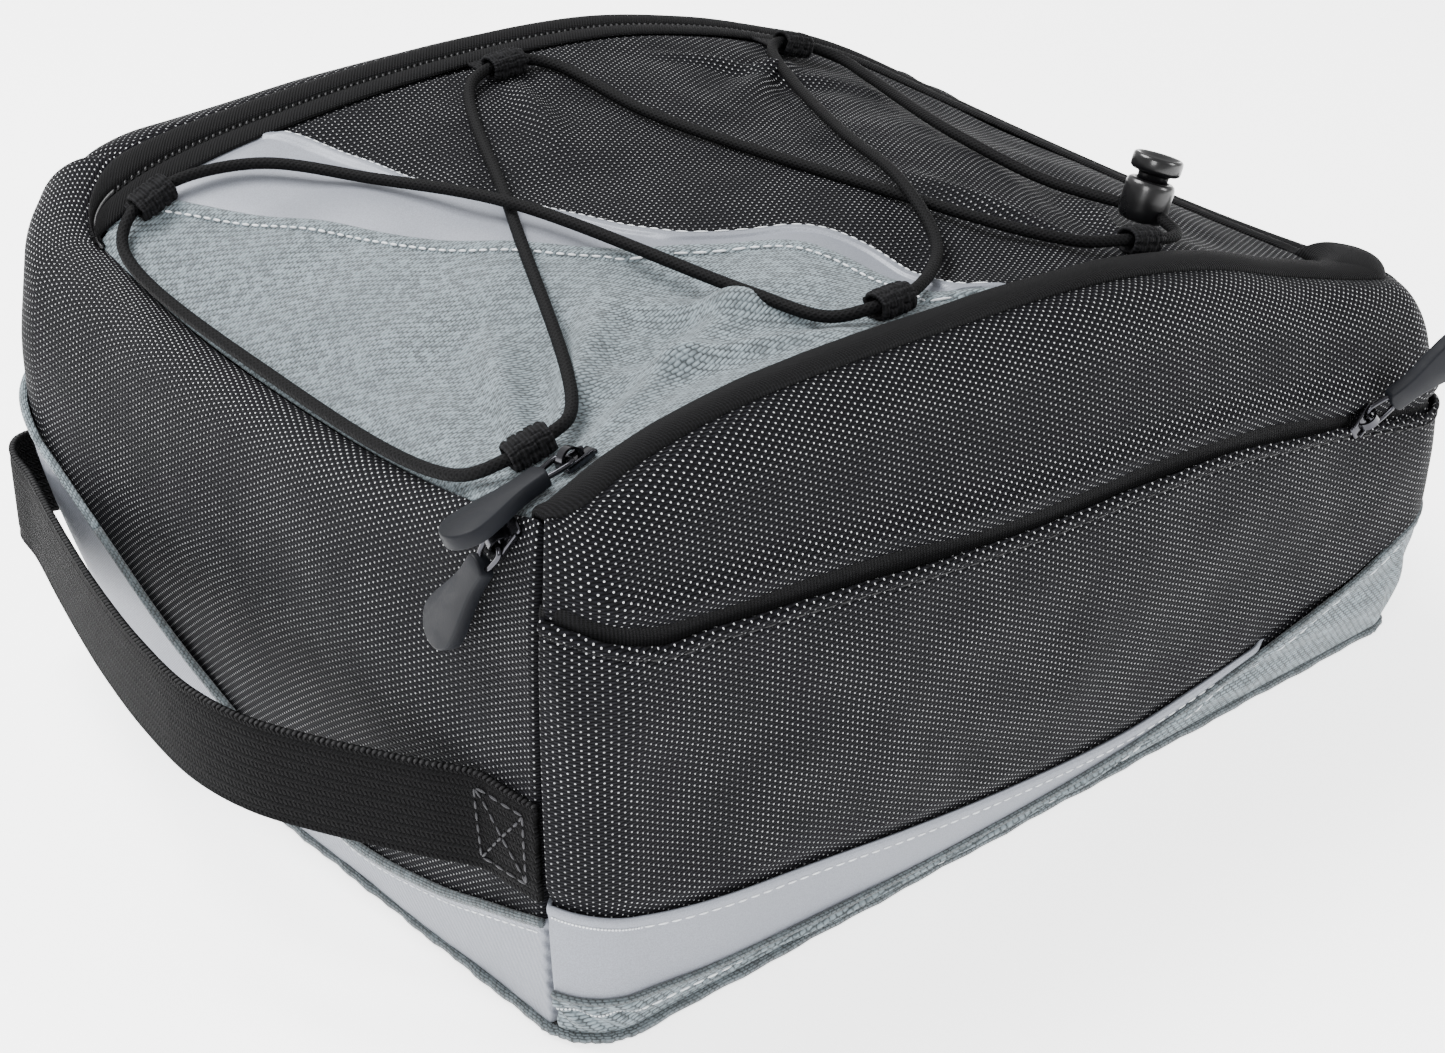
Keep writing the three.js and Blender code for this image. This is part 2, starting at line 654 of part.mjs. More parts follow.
// A point of the rim between the walls' top edge and the lid: share 0 is at the top edge
function rimPoint(place, share, lift = 0) {
  const outer = stationAt(topRing, place);
  const inner = stationAt(rimRing, place);
  const span = Math.hypot(inner.x - outer.x, inner.y - outer.y);
  const clear = mix(Math.min(gap / span, 0.4), 1, share);
  const x = mix(outer.x, inner.x, clear);
  const y = mix(outer.y, inner.y, clear);
  return new THREE.Vector3(x, y, topHeight(x, y) + lift);
}

function rimStrip(name, material, from, to, columns, thickness, crown) {
  const places = placesBetween(from, to, [from + rimEndStep, to - rimEndStep]);
  const face = places.map((place) => Array.from({ length: columns + 1 }, (_, k) => {
    const share = k / columns;
    const nearEnd = place === from || place === to;
    const bump = crown * Math.sin(Math.PI * share) ** crownShape * (nearEnd ? crownEndShare : 1);
    return rimPoint(place, share, bump);
  }));
  const under = places.map((place) => Array.from({ length: columns + 1 }, (_, k) => (
    rimPoint(place, k / columns, -thickness))));
  add(name, slab(face, under), material);
}

function makeRim() {
  rimStrip('lid_zip_tape', colours.webbing, panelFrom(plainSideStart), handleSideStart, 2, zipTapeThickness, 0);
  rimStrip('zip_flap_near', colours.webbing, nearHandleCorner, panelTo(plainSideStart), 4,
    zipTapeThickness, flapCrown);
}

// A frame on the lid: the cord's way, the way up off the cloth, and the place itself
function lidFrame(x, y, turn) {
  const step = 4;
  const ahead = new THREE.Vector3(Math.cos(turn), Math.sin(turn), 0);
  const aside = new THREE.Vector3(-ahead.y, ahead.x, 0);
  const slope = (way) => {
    const rise = lidHeight(x + way.x * step, y + way.y * step) - lidHeight(x - way.x * step, y - way.y * step);
    return way.clone().setZ(rise / (2 * step)).normalize();
  };
  const forward = slope(ahead);
  const up = forward.clone().cross(slope(aside)).normalize();
  return { forward, up, side: up.clone().cross(forward), at: new THREE.Vector3(x, y, lidHeight(x, y)) };
}

// A row of the cord's route as a point
function cordPoint({ along, across, lift }) {
  const x = along * length;
  const y = across * width;
  return new THREE.Vector3(x, y, lidHeight(x, y) + lift);
}

function makeCordLoops() {
  const r = cordDiameter / 2 + gap + loopSlack;
  const halfWidth = loopWidth / 2;
  const top = 2 * (r + loopWall);
  for (const loop of cordLoops) {
    const outline = new THREE.Shape();
    outline.moveTo(-halfWidth, 0);
    outline.lineTo(halfWidth, 0);
    outline.lineTo(halfWidth, top - loopWall);
    outline.lineTo(halfWidth - loopWall, top);
    outline.lineTo(loopWall - halfWidth, top);
    outline.lineTo(-halfWidth, top - loopWall);
    const hole = new THREE.Path();
    hole.moveTo(loopWall - halfWidth, loopWall);
    hole.lineTo(loopWall - halfWidth, top - loopWall);
    hole.lineTo(halfWidth - loopWall, top - loopWall);
    hole.lineTo(halfWidth - loopWall, loopWall);
    outline.holes.push(hole);
    const geometry = new THREE.ExtrudeGeometry(outline, { depth: loopLength, bevelEnabled: false });
    geometry.translate(0, -top / 2, -loopLength / 2);
    const mesh = add(loop.name, geometry, colours.webbing);
    const start = cordPoint(cordRoute[loop.row]);
    const end = cordPoint(cordRoute[loop.row + 1]);
    const middle = start.clone().add(end).multiplyScalar(0.5);
    const forward = end.sub(start).normalize();
    const side = lidFrame(middle.x, middle.y, 0).up.cross(forward).normalize();
    const up = forward.clone().cross(side);
    mesh.quaternion.setFromRotationMatrix(new THREE.Matrix4().makeBasis(side, up, forward));
    mesh.position.copy(middle);
  }
}

function makeHandle() {
  const rows = 4;
  const steps = 44;
  const low = handleHeight * height - webbingWidth / 2;
  const lines = Array.from({ length: rows + 1 }, (_, row) => {
    const z = low + webbingWidth * row / rows;
    const standOff = gap + webbingThickness / 2;
    const onWall = (place, extra = 0) => offWall(place, riseAt(place, z), standOff + extra).setZ(z);
    const points = [
      ...handleSewn.map((across) => onWall(handlePlaceAt(across))),
      ...handleRoute.map(({ across, out }) => new THREE.Vector3(-length / 2 - out * width, across * width, z)),
      ...handleFoldedBack.map((step) => onWall(farSideEnd + step, foldedStandOff)),
    ];
    return new THREE.CatmullRomCurve3(points, false, 'centripetal').getSpacedPoints(steps);
  });
  const face = (side) => lines[0].map((_, i) => lines.map((line) => {
    const run = line[Math.min(i + 1, steps)].clone().sub(line[Math.max(i - 1, 0)]);
    const out = new THREE.Vector3(-run.y, run.x, 0).normalize();
    return line[i].clone().addScaledVector(out, side * webbingThickness / 2);
  }));
  add('handle_strap', slab(face(-1), face(1)), colours.webbing);
}

function makeCord() {
  const points = cordRoute.map(cordPoint);
  const route = new THREE.CatmullRomCurve3(points, false, 'centripetal');
  const outline = new THREE.Shape();
  outline.absarc(0, 0, cordDiameter / 2, 0, 2 * Math.PI, false);
  const cord = new THREE.ExtrudeGeometry(outline, {
    extrudePath: route, steps: cordSteps, curveSegments: 4, bevelEnabled: false,
  });
  add('bungee_cord', cord, colours.webbing);
}

// The place along the handle end at a share of width across it
function handlePlaceAt(across) {
  const start = footRing[handleSideStart];
  const end = footRing[0];
  return handleSideStart + sideSteps * (across * width - start.y) / (end.y - start.y);
}

function lathe(points, segments) {
  const geometry = new THREE.LatheGeometry(points.map(([x, y]) => new THREE.Vector2(x, y)), segments);
  geometry.rotateX(Math.PI / 2);
  return geometry;
}

const lockAt = { along: 0.263, across: -0.31 };
const lockBore = 6;
const buttonTravel = 2.4;

// The cord lock stands on the lid, leaning away from the handle
function makeCordLock() {
  const x = lockAt.along * length;
  const y = lockAt.across * width;
  const lean = radians(lockLean);
  const lock = new THREE.Group();
  lock.rotation.y = lean;
  lock.position.set(x, y, lidHeight(x, y) + gap + lockRadius * Math.sin(lean));
  group.add(lock);
  const edge = 1.2;
  add('cord_lock_barrel', lathe([
    [0, 0],
    [lockRadius - edge, 0],
    [lockRadius, edge],
    [lockRadius, lockHeight - edge],
    [lockRadius - edge, lockHeight],
    [plungerRadius + gap, lockHeight],
    [plungerRadius + gap, lockHeight - lockBore],
    [0, lockHeight - lockBore],
  ], 20), colours.plastic, lock);
  const flange = lockHeight + buttonTravel;
  add('cord_lock_button', lathe([
    [0, lockHeight - lockBore + buttonTravel + gap],
    [plungerRadius, lockHeight - lockBore + buttonTravel + gap],
    [plungerRadius, flange],
    [buttonRadius - edge, flange],
    [buttonRadius, flange + edge],
    [buttonRadius, lockHeight + buttonHeight - edge],
    [buttonRadius - edge / 2, lockHeight + buttonHeight],
    [0, lockHeight + buttonHeight - edge],
  ], 20), colours.plastic, lock);
}

// A zip slider with its wire bail and rubber pull. The hinge lies on the bail's near bar.
// forward is the way the pull points when it lies flat, normal the way off the cloth.
function makeZipPull(prefix, hinge, forward, normal, raise) {
  const side = normal.clone().cross(forward).normalize();
  const frame = new THREE.Group();
  frame.position.copy(hinge);
  frame.quaternion.setFromRotationMatrix(new THREE.Matrix4().makeBasis(forward, side, normal));
  group.add(frame);

  const clear = wireRadius + gap;
  const profile = new THREE.Shape([
    [-sliderLength + 3, -clear - sliderPlate], [3, -clear - sliderPlate], [3, -clear - sliderPlate / 2],
    [clear + sliderWall, clear], [clear, clear + sliderWall], [-2 * clear, clear + sliderWall],
    [-3 * clear - sliderWall, -clear - sliderPlate / 2], [-sliderLength + 3, -clear - sliderPlate / 2],
  ].map(([x, y]) => new THREE.Vector2(x, y)));
  profile.holes.push(new THREE.Path([
    [-2 * clear, clear], [clear, clear], [clear, -clear], [-2 * clear - sliderWall, -clear],
  ].map(([x, y]) => new THREE.Vector2(x, y))));
  const body = new THREE.ExtrudeGeometry(profile, { depth: sliderWidth, bevelEnabled: false });
  body.rotateX(Math.PI / 2);
  body.translate(0, sliderWidth / 2, 0);
  add(`${prefix}_slider`, body, colours.metal, frame);

  const swing = new THREE.Group();
  swing.rotation.y = -radians(raise);
  frame.add(swing);
  const inside = sliderWidth / 2 + gap;
  const outside = inside + 2 * wireRadius;
  const bailShape = new THREE.Shape([
    [-wireRadius, -outside], [bailLength, -outside], [bailLength, outside], [-wireRadius, outside],
  ].map(([x, y]) => new THREE.Vector2(x, y)));
  bailShape.holes.push(new THREE.Path([
    [wireRadius, -inside], [wireRadius, inside],
    [bailLength - 2 * wireRadius, inside], [bailLength - 2 * wireRadius, -inside],
  ].map(([x, y]) => new THREE.Vector2(x, y))));
  const bail = new THREE.ExtrudeGeometry(bailShape, { depth: 2 * wireRadius, bevelEnabled: false });
  bail.translate(0, 0, -wireRadius);
  add(`${prefix}_bail`, bail, colours.metal, swing);

  const start = bailLength + gap;
  const round = pullWidth / 2;
  const outline = new THREE.Shape();
  outline.moveTo(start, -pullNeck / 2);
  outline.lineTo(start + pullLength - 1.6 * pullWidth, -pullNeck / 2 - 1);
  outline.quadraticCurveTo(
    start + pullLength - round - 0.5 * pullWidth, -round, start + pullLength - round, -round);
  outline.absarc(start + pullLength - round, 0, round, -Math.PI / 2, Math.PI / 2, false);
  outline.quadraticCurveTo(
    start + pullLength - round - 0.5 * pullWidth, round,
    start + pullLength - 1.6 * pullWidth, pullNeck / 2 + 1);
  outline.lineTo(start, pullNeck / 2);
  const pull = new THREE.ExtrudeGeometry(outline, {
    depth: pullThickness - 2 * pullBevel,
    bevelEnabled: true,
    bevelThickness: pullBevel,
    bevelSize: pullBevel,
    bevelOffset: -pullBevel,
    bevelSegments: 1,
    curveSegments: 5,
  });
  pull.translate(0, 0, pullBevel - pullThickness / 2);
  add(`${prefix}_pull`, pull, colours.rubber, swing);
}

// The height of a hinge over the cloth under its slider
const hingeHeight = gap + sliderPlate + gap + wireRadius;

function makeZipPulls() {
  const front = lidFrame(frontSliderAt.along * length, frontSliderAt.across * width, Math.PI);
  makeZipPull('lid_front', front.at.addScaledVector(front.up, hingeHeight), front.forward, front.up, 0);

  const place = handlePlaceAt(cornerSliderAt.across);
  const top = offWall(place, cornerSliderAt.rise, 0);
  const out = offWall(place, cornerSliderAt.rise, 1).sub(top).normalize();
  const down = offWall(place - cornerSliderAt.lean, cornerSliderAt.rise - 0.1, 0).sub(top);
  down.addScaledVector(out, -down.dot(out)).normalize();
  const seat = top.addScaledVector(out, hingeHeight + cornerSliderAt.lift);
  makeZipPull('lid_corner', seat, down, out, cornerSliderAt.raise);

  const pocketPlace = nearSideEnd + pocketSliderAt.step;
  const z = lineOnLongWall('pocket')(pocketPlace) + gap + pocketZipWidth / 2;
  const rise = riseAt(pocketPlace, z);
  const base = offWall(pocketPlace, rise, gap + pocketZipThickness);
  const off = offWall(pocketPlace, rise, 1 + gap + pocketZipThickness).sub(base).normalize();
  const along = offWall(pocketPlace + 0.5, rise, 0).sub(offWall(pocketPlace - 0.5, rise, 0)).normalize();
  const up = off.clone().cross(along).normalize();
  const turn = radians(pocketSliderAt.turn);
  const way = along.clone().multiplyScalar(Math.cos(turn)).addScaledVector(up, Math.sin(turn));
  way.addScaledVector(off, -way.dot(off)).normalize();
  makeZipPull('pocket', base.addScaledVector(off, hingeHeight + pocketSliderAt.lift), way, off, pocketSliderAt.raise);
}

makeBase();
makeWalls();
makeTrims();
makeLid();
makeRim();
makeCordLoops();
makeCord();
makeHandle();
makeCordLock();
makeZipPulls();

export default group;
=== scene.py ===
"""A soft bicycle trunk bag: cloth panels, laced elastic cord, zips, rubber pulls and a webbing handle."""
import math

import bmesh
import bpy
from mathutils import Matrix, Vector, noise
from mathutils.bvhtree import BVHTree


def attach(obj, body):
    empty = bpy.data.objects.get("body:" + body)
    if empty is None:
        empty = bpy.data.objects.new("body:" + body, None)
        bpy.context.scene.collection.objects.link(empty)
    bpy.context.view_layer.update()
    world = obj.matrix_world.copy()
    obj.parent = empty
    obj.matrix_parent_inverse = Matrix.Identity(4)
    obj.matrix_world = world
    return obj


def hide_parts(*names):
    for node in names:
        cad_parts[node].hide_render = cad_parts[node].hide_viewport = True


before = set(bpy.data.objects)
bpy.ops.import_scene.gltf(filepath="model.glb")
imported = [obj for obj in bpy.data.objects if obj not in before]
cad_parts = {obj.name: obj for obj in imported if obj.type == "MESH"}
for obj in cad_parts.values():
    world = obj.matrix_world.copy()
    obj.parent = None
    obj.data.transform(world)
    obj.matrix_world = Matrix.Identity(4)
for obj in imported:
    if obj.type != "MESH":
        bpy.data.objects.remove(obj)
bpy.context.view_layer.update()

bl_info = {
    "name": "Bicycle trunk bag",
    "version": (1, 0, 0),
    "blender": (4, 5, 0),
    "location": "View3D > Sidebar > Trunk bag",
    "description": "Builds a soft bicycle trunk bag piece by piece",
    "category": "Object",
}

BAG = "bag"

# The bag's own form, in metres. The ring round it has 60 places: each corner takes 5, each side 10.
# An outline is its plain rectangle, its corner radii and how far each corner stands off, in the order
# near handle, near plain, far plain, far handle.
LENGTH, WIDTH, HEIGHT = 0.334, 0.252, 0.168
FOOT_SIDES = {"left": -0.167, "right": 0.167, "near": -0.126, "far": 0.126}
TOP_SIDES = {"left": -0.164, "right": 0.157, "near": -0.117, "far": 0.119}
LID_SIDES = {"left": -0.16365, "right": 0.14065, "near": -0.10815, "far": 0.10265}
RIM_SIDES = {"left": -0.16395, "right": 0.14095, "near": -0.10845, "far": 0.10295}
LID_RADII = (0.004, 0.018, 0.022, 0.004)
LID_SHIFTS = ((0, 0), (0.009, 0), (-0.007, 0), (0, 0))
FOOT = (FOOT_SIDES, (0.016, 0.012, 0.040, 0.042), ((0, 0), (0.004, 0), (-0.006, 0), (0, 0)))
BULGE = (FOOT_SIDES, (0.016, 0.012, 0.040, 0.015), ((0, 0), (0.004, 0), (-0.006, 0), (-0.001, 0.015)))
TOP = (TOP_SIDES, (0.009, 0.012, 0.032, 0.022), ((0, 0), (0.009, 0), (-0.007, 0), (0, 0.002)))
RIM = (RIM_SIDES, LID_RADII, LID_SHIFTS)
CORNER_SWELL = (0.45, 0.95, 0.95, 0.95)
NEAR_SEAM = 0.75
WALL_FOOT = 0.00295
SWELL = 0.010
SHOULDER = 0.020
SHOULDER_SHARE = 0.7

# along, near, middle, far: the top's height as shares of the bag's height
TOP_HEIGHTS = [
    (-0.5, 0.955, 0.86, 0.985),
    (-0.42, 1.01, 0.93, 1.05),
    (-0.3, 1.03, 1.0, 1.07),
    (-0.1, 1.01, 1.03, 1.075),
    (0.08, 0.98, 1.01, 1.05),
    (0.22, 0.92, 0.95, 0.985),
    (0.33, 0.84, 0.87, 0.91),
    (0.42, 0.78, 0.8, 0.84),
    (0.5, 0.74, 0.71, 0.75),
]
# x0, y0, x1, y1, breadth, depth of the lid's soft folds
LID_FOLDS = [
    (-0.42, -0.34, -0.3, 0.2, 0.09, 0.014),
    (-0.4, -0.4, -0.1, -0.12, 0.1, 0.018),
    (-0.36, -0.42, 0.02, -0.3, 0.08, 0.016),
    (-0.08, 0.36, 0.1, -0.1, 0.1, 0.012),
    (0.28, 0.34, 0.02, 0.02, 0.12, 0.014),
    (0.2, -0.4, 0.38, 0.1, 0.1, 0.016),
]
# across, grey seam, reflective seam along the bag
LID_SEAMS = [
    (-0.5, 0.02, 0.04),
    (-0.42, -0.01, 0.005),
    (-0.39, -0.054, -0.03),
    (-0.33, -0.055, -0.03),
    (-0.25, -0.072, -0.032),
    (-0.18, -0.1, -0.06),
    (-0.14, -0.145, -0.105),
    (-0.1, -0.2, -0.155),
    (0.0, -0.26, -0.195),
    (0.11, -0.31, -0.222),
    (0.2, -0.342, -0.25),
    (0.3, -0.385, -0.265),
    (0.4, -0.43, -0.295),
    (0.5, -0.48, -0.37),
]
# along, pocket, grey trim, reflective strip: heights on the long walls
LONG_WALL = [
    (-0.5, 0.8, 0.1, 0.28),
    (-0.44, 0.74, 0.085, 0.24),
    (-0.38, 0.73, 0.07, 0.215),
    (-0.22, 0.7, 0.052, 0.17),
    (-0.05, 0.66, 0.05, 0.125),
    (0.1, 0.645, 0.062, 0.105),
    (0.2, 0.625, 0.095, 0.125),
    (0.33, 0.575, 0.15, 0.162),
    (0.42, 0.535, 0.2, 0.205),
    (0.5, 0.5, 0.28, 0.285),
]
# across, reflective panel's top on the handle end
END_WALL = [
    (-0.5, 0.27),
    (-0.44, 0.232),
    (-0.36, 0.196),
    (-0.28, 0.16),
    (-0.13, 0.12),
    (-0.05, 0.137),
    (0.03, 0.179),
    (0.1, 0.226),
    (0.18, 0.3),
    (0.256, 0.42),
    (0.333, 0.52),
    (0.4, 0.57),
    (0.5, 0.61),
]
REFLECTIVE_END = 0.3
PLAIN_END_TRIM = 0.285

# The elastic cord's route, as in the model, in metres
CORD_ROUTE = [
    (0.08891, -0.07061, 0.15569), (0.0838, -0.04299, 0.15582), (0.0825, -0.00401, 0.15951),
    (0.10601, 0.06, 0.15351), (0.11149, 0.08001, 0.15274), (0.10351, 0.088, 0.15699),
    (0.09051, 0.088, 0.16165), (0.0825, 0.0825, 0.16273), (0.06399, 0.05199, 0.16547),
    (0.03801, 0, 0.17074), (0.017, -0.04801, 0.17561), (0, -0.08001, 0.17126),
    (-0.031, -0.101, 0.1738), (-0.04499, -0.101, 0.17383), (-0.05401, -0.094, 0.17156),
    (-0.06149, -0.07001, 0.17256), (-0.081, 0.01, 0.17777), (-0.09599, 0.05801, 0.17401),
    (-0.116, 0.088, 0.17467), (-0.13951, 0.09699, 0.17251), (-0.15401, 0.09699, 0.16686),
    (-0.16199, 0.08999, 0.1602), (-0.16349, 0.01, 0.14951), (-0.16239, -0.072, 0.15303),
    (-0.15461, -0.08261, 0.15887), (-0.14142, -0.0854, 0.16342), (-0.13099, -0.08001, 0.16391),
    (-0.081, 0.01, 0.17367), (-0.04001, 0.085, 0.17999), (-0.02849, 0.091, 0.1812),
    (-0.0155, 0.091, 0.18113), (-0.00751, 0.08399, 0.17933), (-0.00401, 0.03999, 0.17515),
    (0.017, -0.04801, 0.17151), (0.032, -0.08601, 0.16822), (0.04198, -0.0975, 0.16629),
    (0.05551, -0.101, 0.16397), (0.0685, -0.101, 0.16034), (0.083, -0.09699, 0.15638),
    (0.08881, -0.0856, 0.15604),
]
# loop name, row of the route before it, how far its tail runs over the cloth: 0 where the tail is hidden
CORD_LOOPS = [
    ("cord_loop_far_plain", 5, 0.012),
    ("cord_loop_near_middle", 12, -0.005),
    ("cord_loop_far_handle", 19, 0.005),
    ("cord_loop_near_handle", 24, 0.0),
    ("cord_loop_far_middle", 29, 0.009),
    ("cord_loop_near_plain", 36, -0.005),
]
# across, out: the free part of the handle strap, as shares of the width
HANDLE_ROUTE = [
    (-0.31, 0.062), (-0.2, 0.122), (-0.12, 0.156), (-0.03, 0.17), (0.09, 0.16), (0.22, 0.136),
    (0.32, 0.112), (0.41, 0.088), (0.51, 0.06), (0.575, 0.046), (0.602, 0.024), (0.606, -0.006),
    (0.598, -0.034),
]
HANDLE_SEWN = (-0.44, -0.41, -0.375)
HANDLE_FOLDED = (0.8, 0.5, 0.2)
HANDLE_HEIGHT = 0.37 * HEIGHT
WEBBING_WIDTH = 0.030

# prefix: hinge, way the slider points, way off the cloth, raise of the pull in degrees
ZIP_PULLS = {
    "lid_front": ((-0.146746, -0.098319, 0.163257), (-0.966, 0.0, -0.257), (-0.250, 0.227, 0.941), 0),
    "lid_corner": ((-0.171079, -0.100057, 0.148829), (-0.318, 0.483, -0.816), (-0.927, 0.022, 0.374), -8),
    "pocket": ((0.130261, -0.139544, 0.095958), (0.824, 0.061, 0.563), (0.017, -0.996, 0.082), 22),
}
LOCK_BASE = (0.087842, -0.07812)
LOCK_LEAN = math.radians(20)
# radius, height of the cord lock's turned parts in millimetres
LOCK_BARREL = [
    (0, 0), (5.0, 0.05), (6.4, 0.5), (7.2, 1.6), (7.6, 4.0), (7.6, 10.4), (7.5, 11.6), (7.1, 12.5),
    (6.4, 12.95), (5.5, 12.9), (5.2, 12.4), (5.2, 7.1), (4.8, 7.0), (0, 7.0),
]
LOCK_BUTTON = [
    (0, 9.8), (4.4, 9.8), (4.7, 10.1), (4.7, 14.6), (5.4, 15.25), (6.9, 15.5), (7.6, 16.0), (7.8, 16.8),
    (7.8, 19.3), (7.6, 20.1), (7.1, 20.5), (6.4, 20.4), (5.6, 19.7), (4.0, 18.9), (2.2, 18.5), (0, 18.4),
]


class BagSizes(bpy.types.PropertyGroup):
    """Sizes a user may change"""
    cord_diameter: bpy.props.FloatProperty(
        name="Cord diameter", description="Thickness of the elastic cord", default=0.0036,
        min=0.002, max=0.006, unit="LENGTH", subtype="DISTANCE")
    dot_width: bpy.props.FloatProperty(
        name="Dot spacing", description="Distance between the light dots along the cloth", default=0.00345,
        unit="LENGTH", subtype="DISTANCE")
    dot_height: bpy.props.FloatProperty(
        name="Dot row spacing", description="Distance between the rows of dots", default=0.00192,
        unit="LENGTH", subtype="DISTANCE")
    stitch_length: bpy.props.FloatProperty(
        name="Stitch length", description="Length of one stitch", default=0.0026,
        unit="LENGTH", subtype="DISTANCE")
    fold_depth: bpy.props.FloatProperty(
        name="Fold depth", description="How deep the cloth's soft folds are", default=0.0017,
        unit="LENGTH", subtype="DISTANCE")


class BagColours(bpy.types.PropertyGroup):
    """Colours a user may change"""
    black: bpy.props.FloatVectorProperty(
        name="Black cloth", description="Threads of the dotted cloth", default=(0.0045, 0.0045, 0.0058),
        size=3, min=0, max=1, subtype="COLOR")
    # The full dot colour is reached only where the dots carry a painted highlight on sloping faces; elsewhere
    # they are 0.3 to 0.62 of it.
    dots: bpy.props.FloatVectorProperty(
        name="Dots", description="Light threads that show as dots", default=(0.60, 0.61, 0.62),
        size=3, min=0, max=1, subtype="COLOR")
    grey: bpy.props.FloatVectorProperty(
        name="Grey cloth", description="Grey woven panels and trim", default=(0.104, 0.129, 0.142),
        size=3, min=0, max=1, subtype="COLOR")
    silver: bpy.props.FloatVectorProperty(
        name="Reflective cloth", description="Silver reflective panels", default=(0.17, 0.182, 0.21),
        size=3, min=0, max=1, subtype="COLOR")
    webbing: bpy.props.FloatVectorProperty(
        name="Webbing", description="Handle, zip tape and binding", default=(0.0024, 0.0024, 0.0028),
        size=3, min=0, max=1, subtype="COLOR")
    thread: bpy.props.FloatVectorProperty(
        name="Stitches", description="Light sewing thread", default=(0.5, 0.52, 0.54),
        size=3, min=0, max=1, subtype="COLOR")
    rubber: bpy.props.FloatVectorProperty(
        name="Pulls", description="Rubber zip pulls", default=(0.0042, 0.0048, 0.0066),
        size=3, min=0, max=1, subtype="COLOR")


def sizes():
    return bpy.context.scene.bag_sizes


def colours():
    return bpy.context.scene.bag_colours


# Form of the bag

def clamp(value, low, high):
    return min(max(value, low), high)


def mix(a, b, share):
    return a + (b - a) * share


def smooth(low, high, value):
    t = clamp((value - low) / (high - low), 0.0, 1.0)
    return t * t * (3 - 2 * t)


def bump(distance, reach):
    """1 at no distance, soft down to 0 past the reach"""
    return math.exp(-(distance / reach) ** 2)


def table_value(table, column, at):
    last = len(table) - 1
    place = clamp(at, table[0][0], table[last][0])
    row = 0
    while row < last - 1 and place > table[row + 1][0]:
        row += 1

    def slope(k):
        before, after = table[max(k - 1, 0)], table[min(k + 1, last)]
        return (after[column] - before[column]) / (after[0] - before[0])

    span = table[row + 1][0] - table[row][0]
    t = (place - table[row][0]) / span
    rise = t * t * (3 - 2 * t)
    return (table[row][column] * (1 - rise) + table[row + 1][column] * rise
            + span * t * (1 - t) * ((1 - t) * slope(row) - t * slope(row + 1)))


def top_height(x, y):
    along = x / LENGTH
    across = clamp(2 * y / WIDTH, -1, 1)
    near = table_value(TOP_HEIGHTS, 1, along)
    middle = table_value(TOP_HEIGHTS, 2, along)
    far = table_value(TOP_HEIGHTS, 3, along)
    dish = (far + near) / 2 - middle
    return HEIGHT * (middle + (far - near) / 2 * across + dish * abs(across) ** 2.4)


def fold_depth(x, y):
    depth = 0.0
    for x0, y0, x1, y1, breadth, deep in LID_FOLDS:
        sx, sy = x0 * LENGTH, y0 * WIDTH
        rx, ry = x1 * LENGTH - sx, y1 * WIDTH - sy
        share = clamp(((x - sx) * rx + (y - sy) * ry) / (rx * rx + ry * ry), 0, 1)
        away = math.hypot(x - sx - rx * share, y - sy - ry * share) / (breadth * HEIGHT)
        depth += deep * HEIGHT * math.sin(math.pi * mix(0.12, 0.88, share)) * math.exp(-away * away)
    return depth


def lid_height(x, y):
    return top_height(x, y) - fold_depth(x, y)


def ring_point(outline, place):
    """x, y, outward x, outward y and how much of the swell the place gets"""
    sides, radii, shifts = outline
    place = place % 60
    corner = int(place // 15)
    step = place - 15 * corner
    names = (("left", "near"), ("right", "near"), ("right", "far"), ("left", "far"))

    def centre(index):
        across, along = names[index]
        r = radii[index]
        x = sides[across] + shifts[index][0] + (r if across == "left" else -r)
        y = sides[along] + shifts[index][1] + (r if along == "near" else -r)
        return x, y, r

    cx, cy, r = centre(corner)
    swells = CORNER_SWELL[corner]
    start = math.radians((180, 270, 0, 90)[corner])
    if step <= 5:
        angle = start + math.pi / 2 * step / 5
        nx, ny = math.cos(angle), math.sin(angle)
        return cx + r * nx, cy + r * ny, nx, ny, swells
    angle = start + math.pi / 2
    nx, ny = math.cos(angle), math.sin(angle)
    following = (corner + 1) % 4
    dx, dy, dr = centre(following)
    share = (step - 5) / 10
    swells = mix(mix(swells, CORNER_SWELL[following], share), 1, math.sin(math.pi * share))
    return mix(cx + r * nx, dx + dr * nx, share), mix(cy + r * ny, dy + dr * ny, share), nx, ny, swells


def side_place(start, value, axis):
    """The place on a side, which starts at a place, where x or y reaches a value"""
    first, last = ring_point(FOOT, start)[axis], ring_point(FOOT, start + 10)[axis]
    return start + 10 * (value - first) / (last - first)


def wall_point(place, rise):
    fx, fy, nx, ny, swells = ring_point(FOOT, place)
    bx, by = ring_point(BULGE, place)[:2]
    tx, ty = ring_point(TOP, place)[:2]
    spread_out = smooth(0.1, 0.7, rise / SHOULDER_SHARE)
    top = top_height(tx, ty)
    shoulder = top - SHOULDER
    z = mix(WALL_FOOT, shoulder, rise / SHOULDER_SHARE)
    curl = 0.0
    if rise > SHOULDER_SHARE:
        angle = (rise - SHOULDER_SHARE) / (1 - SHOULDER_SHARE) * math.pi / 2
        z = shoulder + SHOULDER * math.sin(angle)
        curl = 1 - math.cos(angle)
    level = clamp((z - WALL_FOOT) / (top - WALL_FOOT), 0, 1)
    out = SWELL * swells * math.sin(math.pi * level) ** 0.6
    x, y = mix(mix(fx, bx, spread_out), tx, curl), mix(mix(fy, by, spread_out), ty, curl)
    return Vector((x + nx * out, y + ny * out, z))


def rise_at(place, z):
    tx, ty = ring_point(TOP, place)[:2]
    shoulder = top_height(tx, ty) - SHOULDER
    return clamp(SHOULDER_SHARE * (z - WALL_FOOT) / (shoulder - WALL_FOOT), 0, SHOULDER_SHARE)


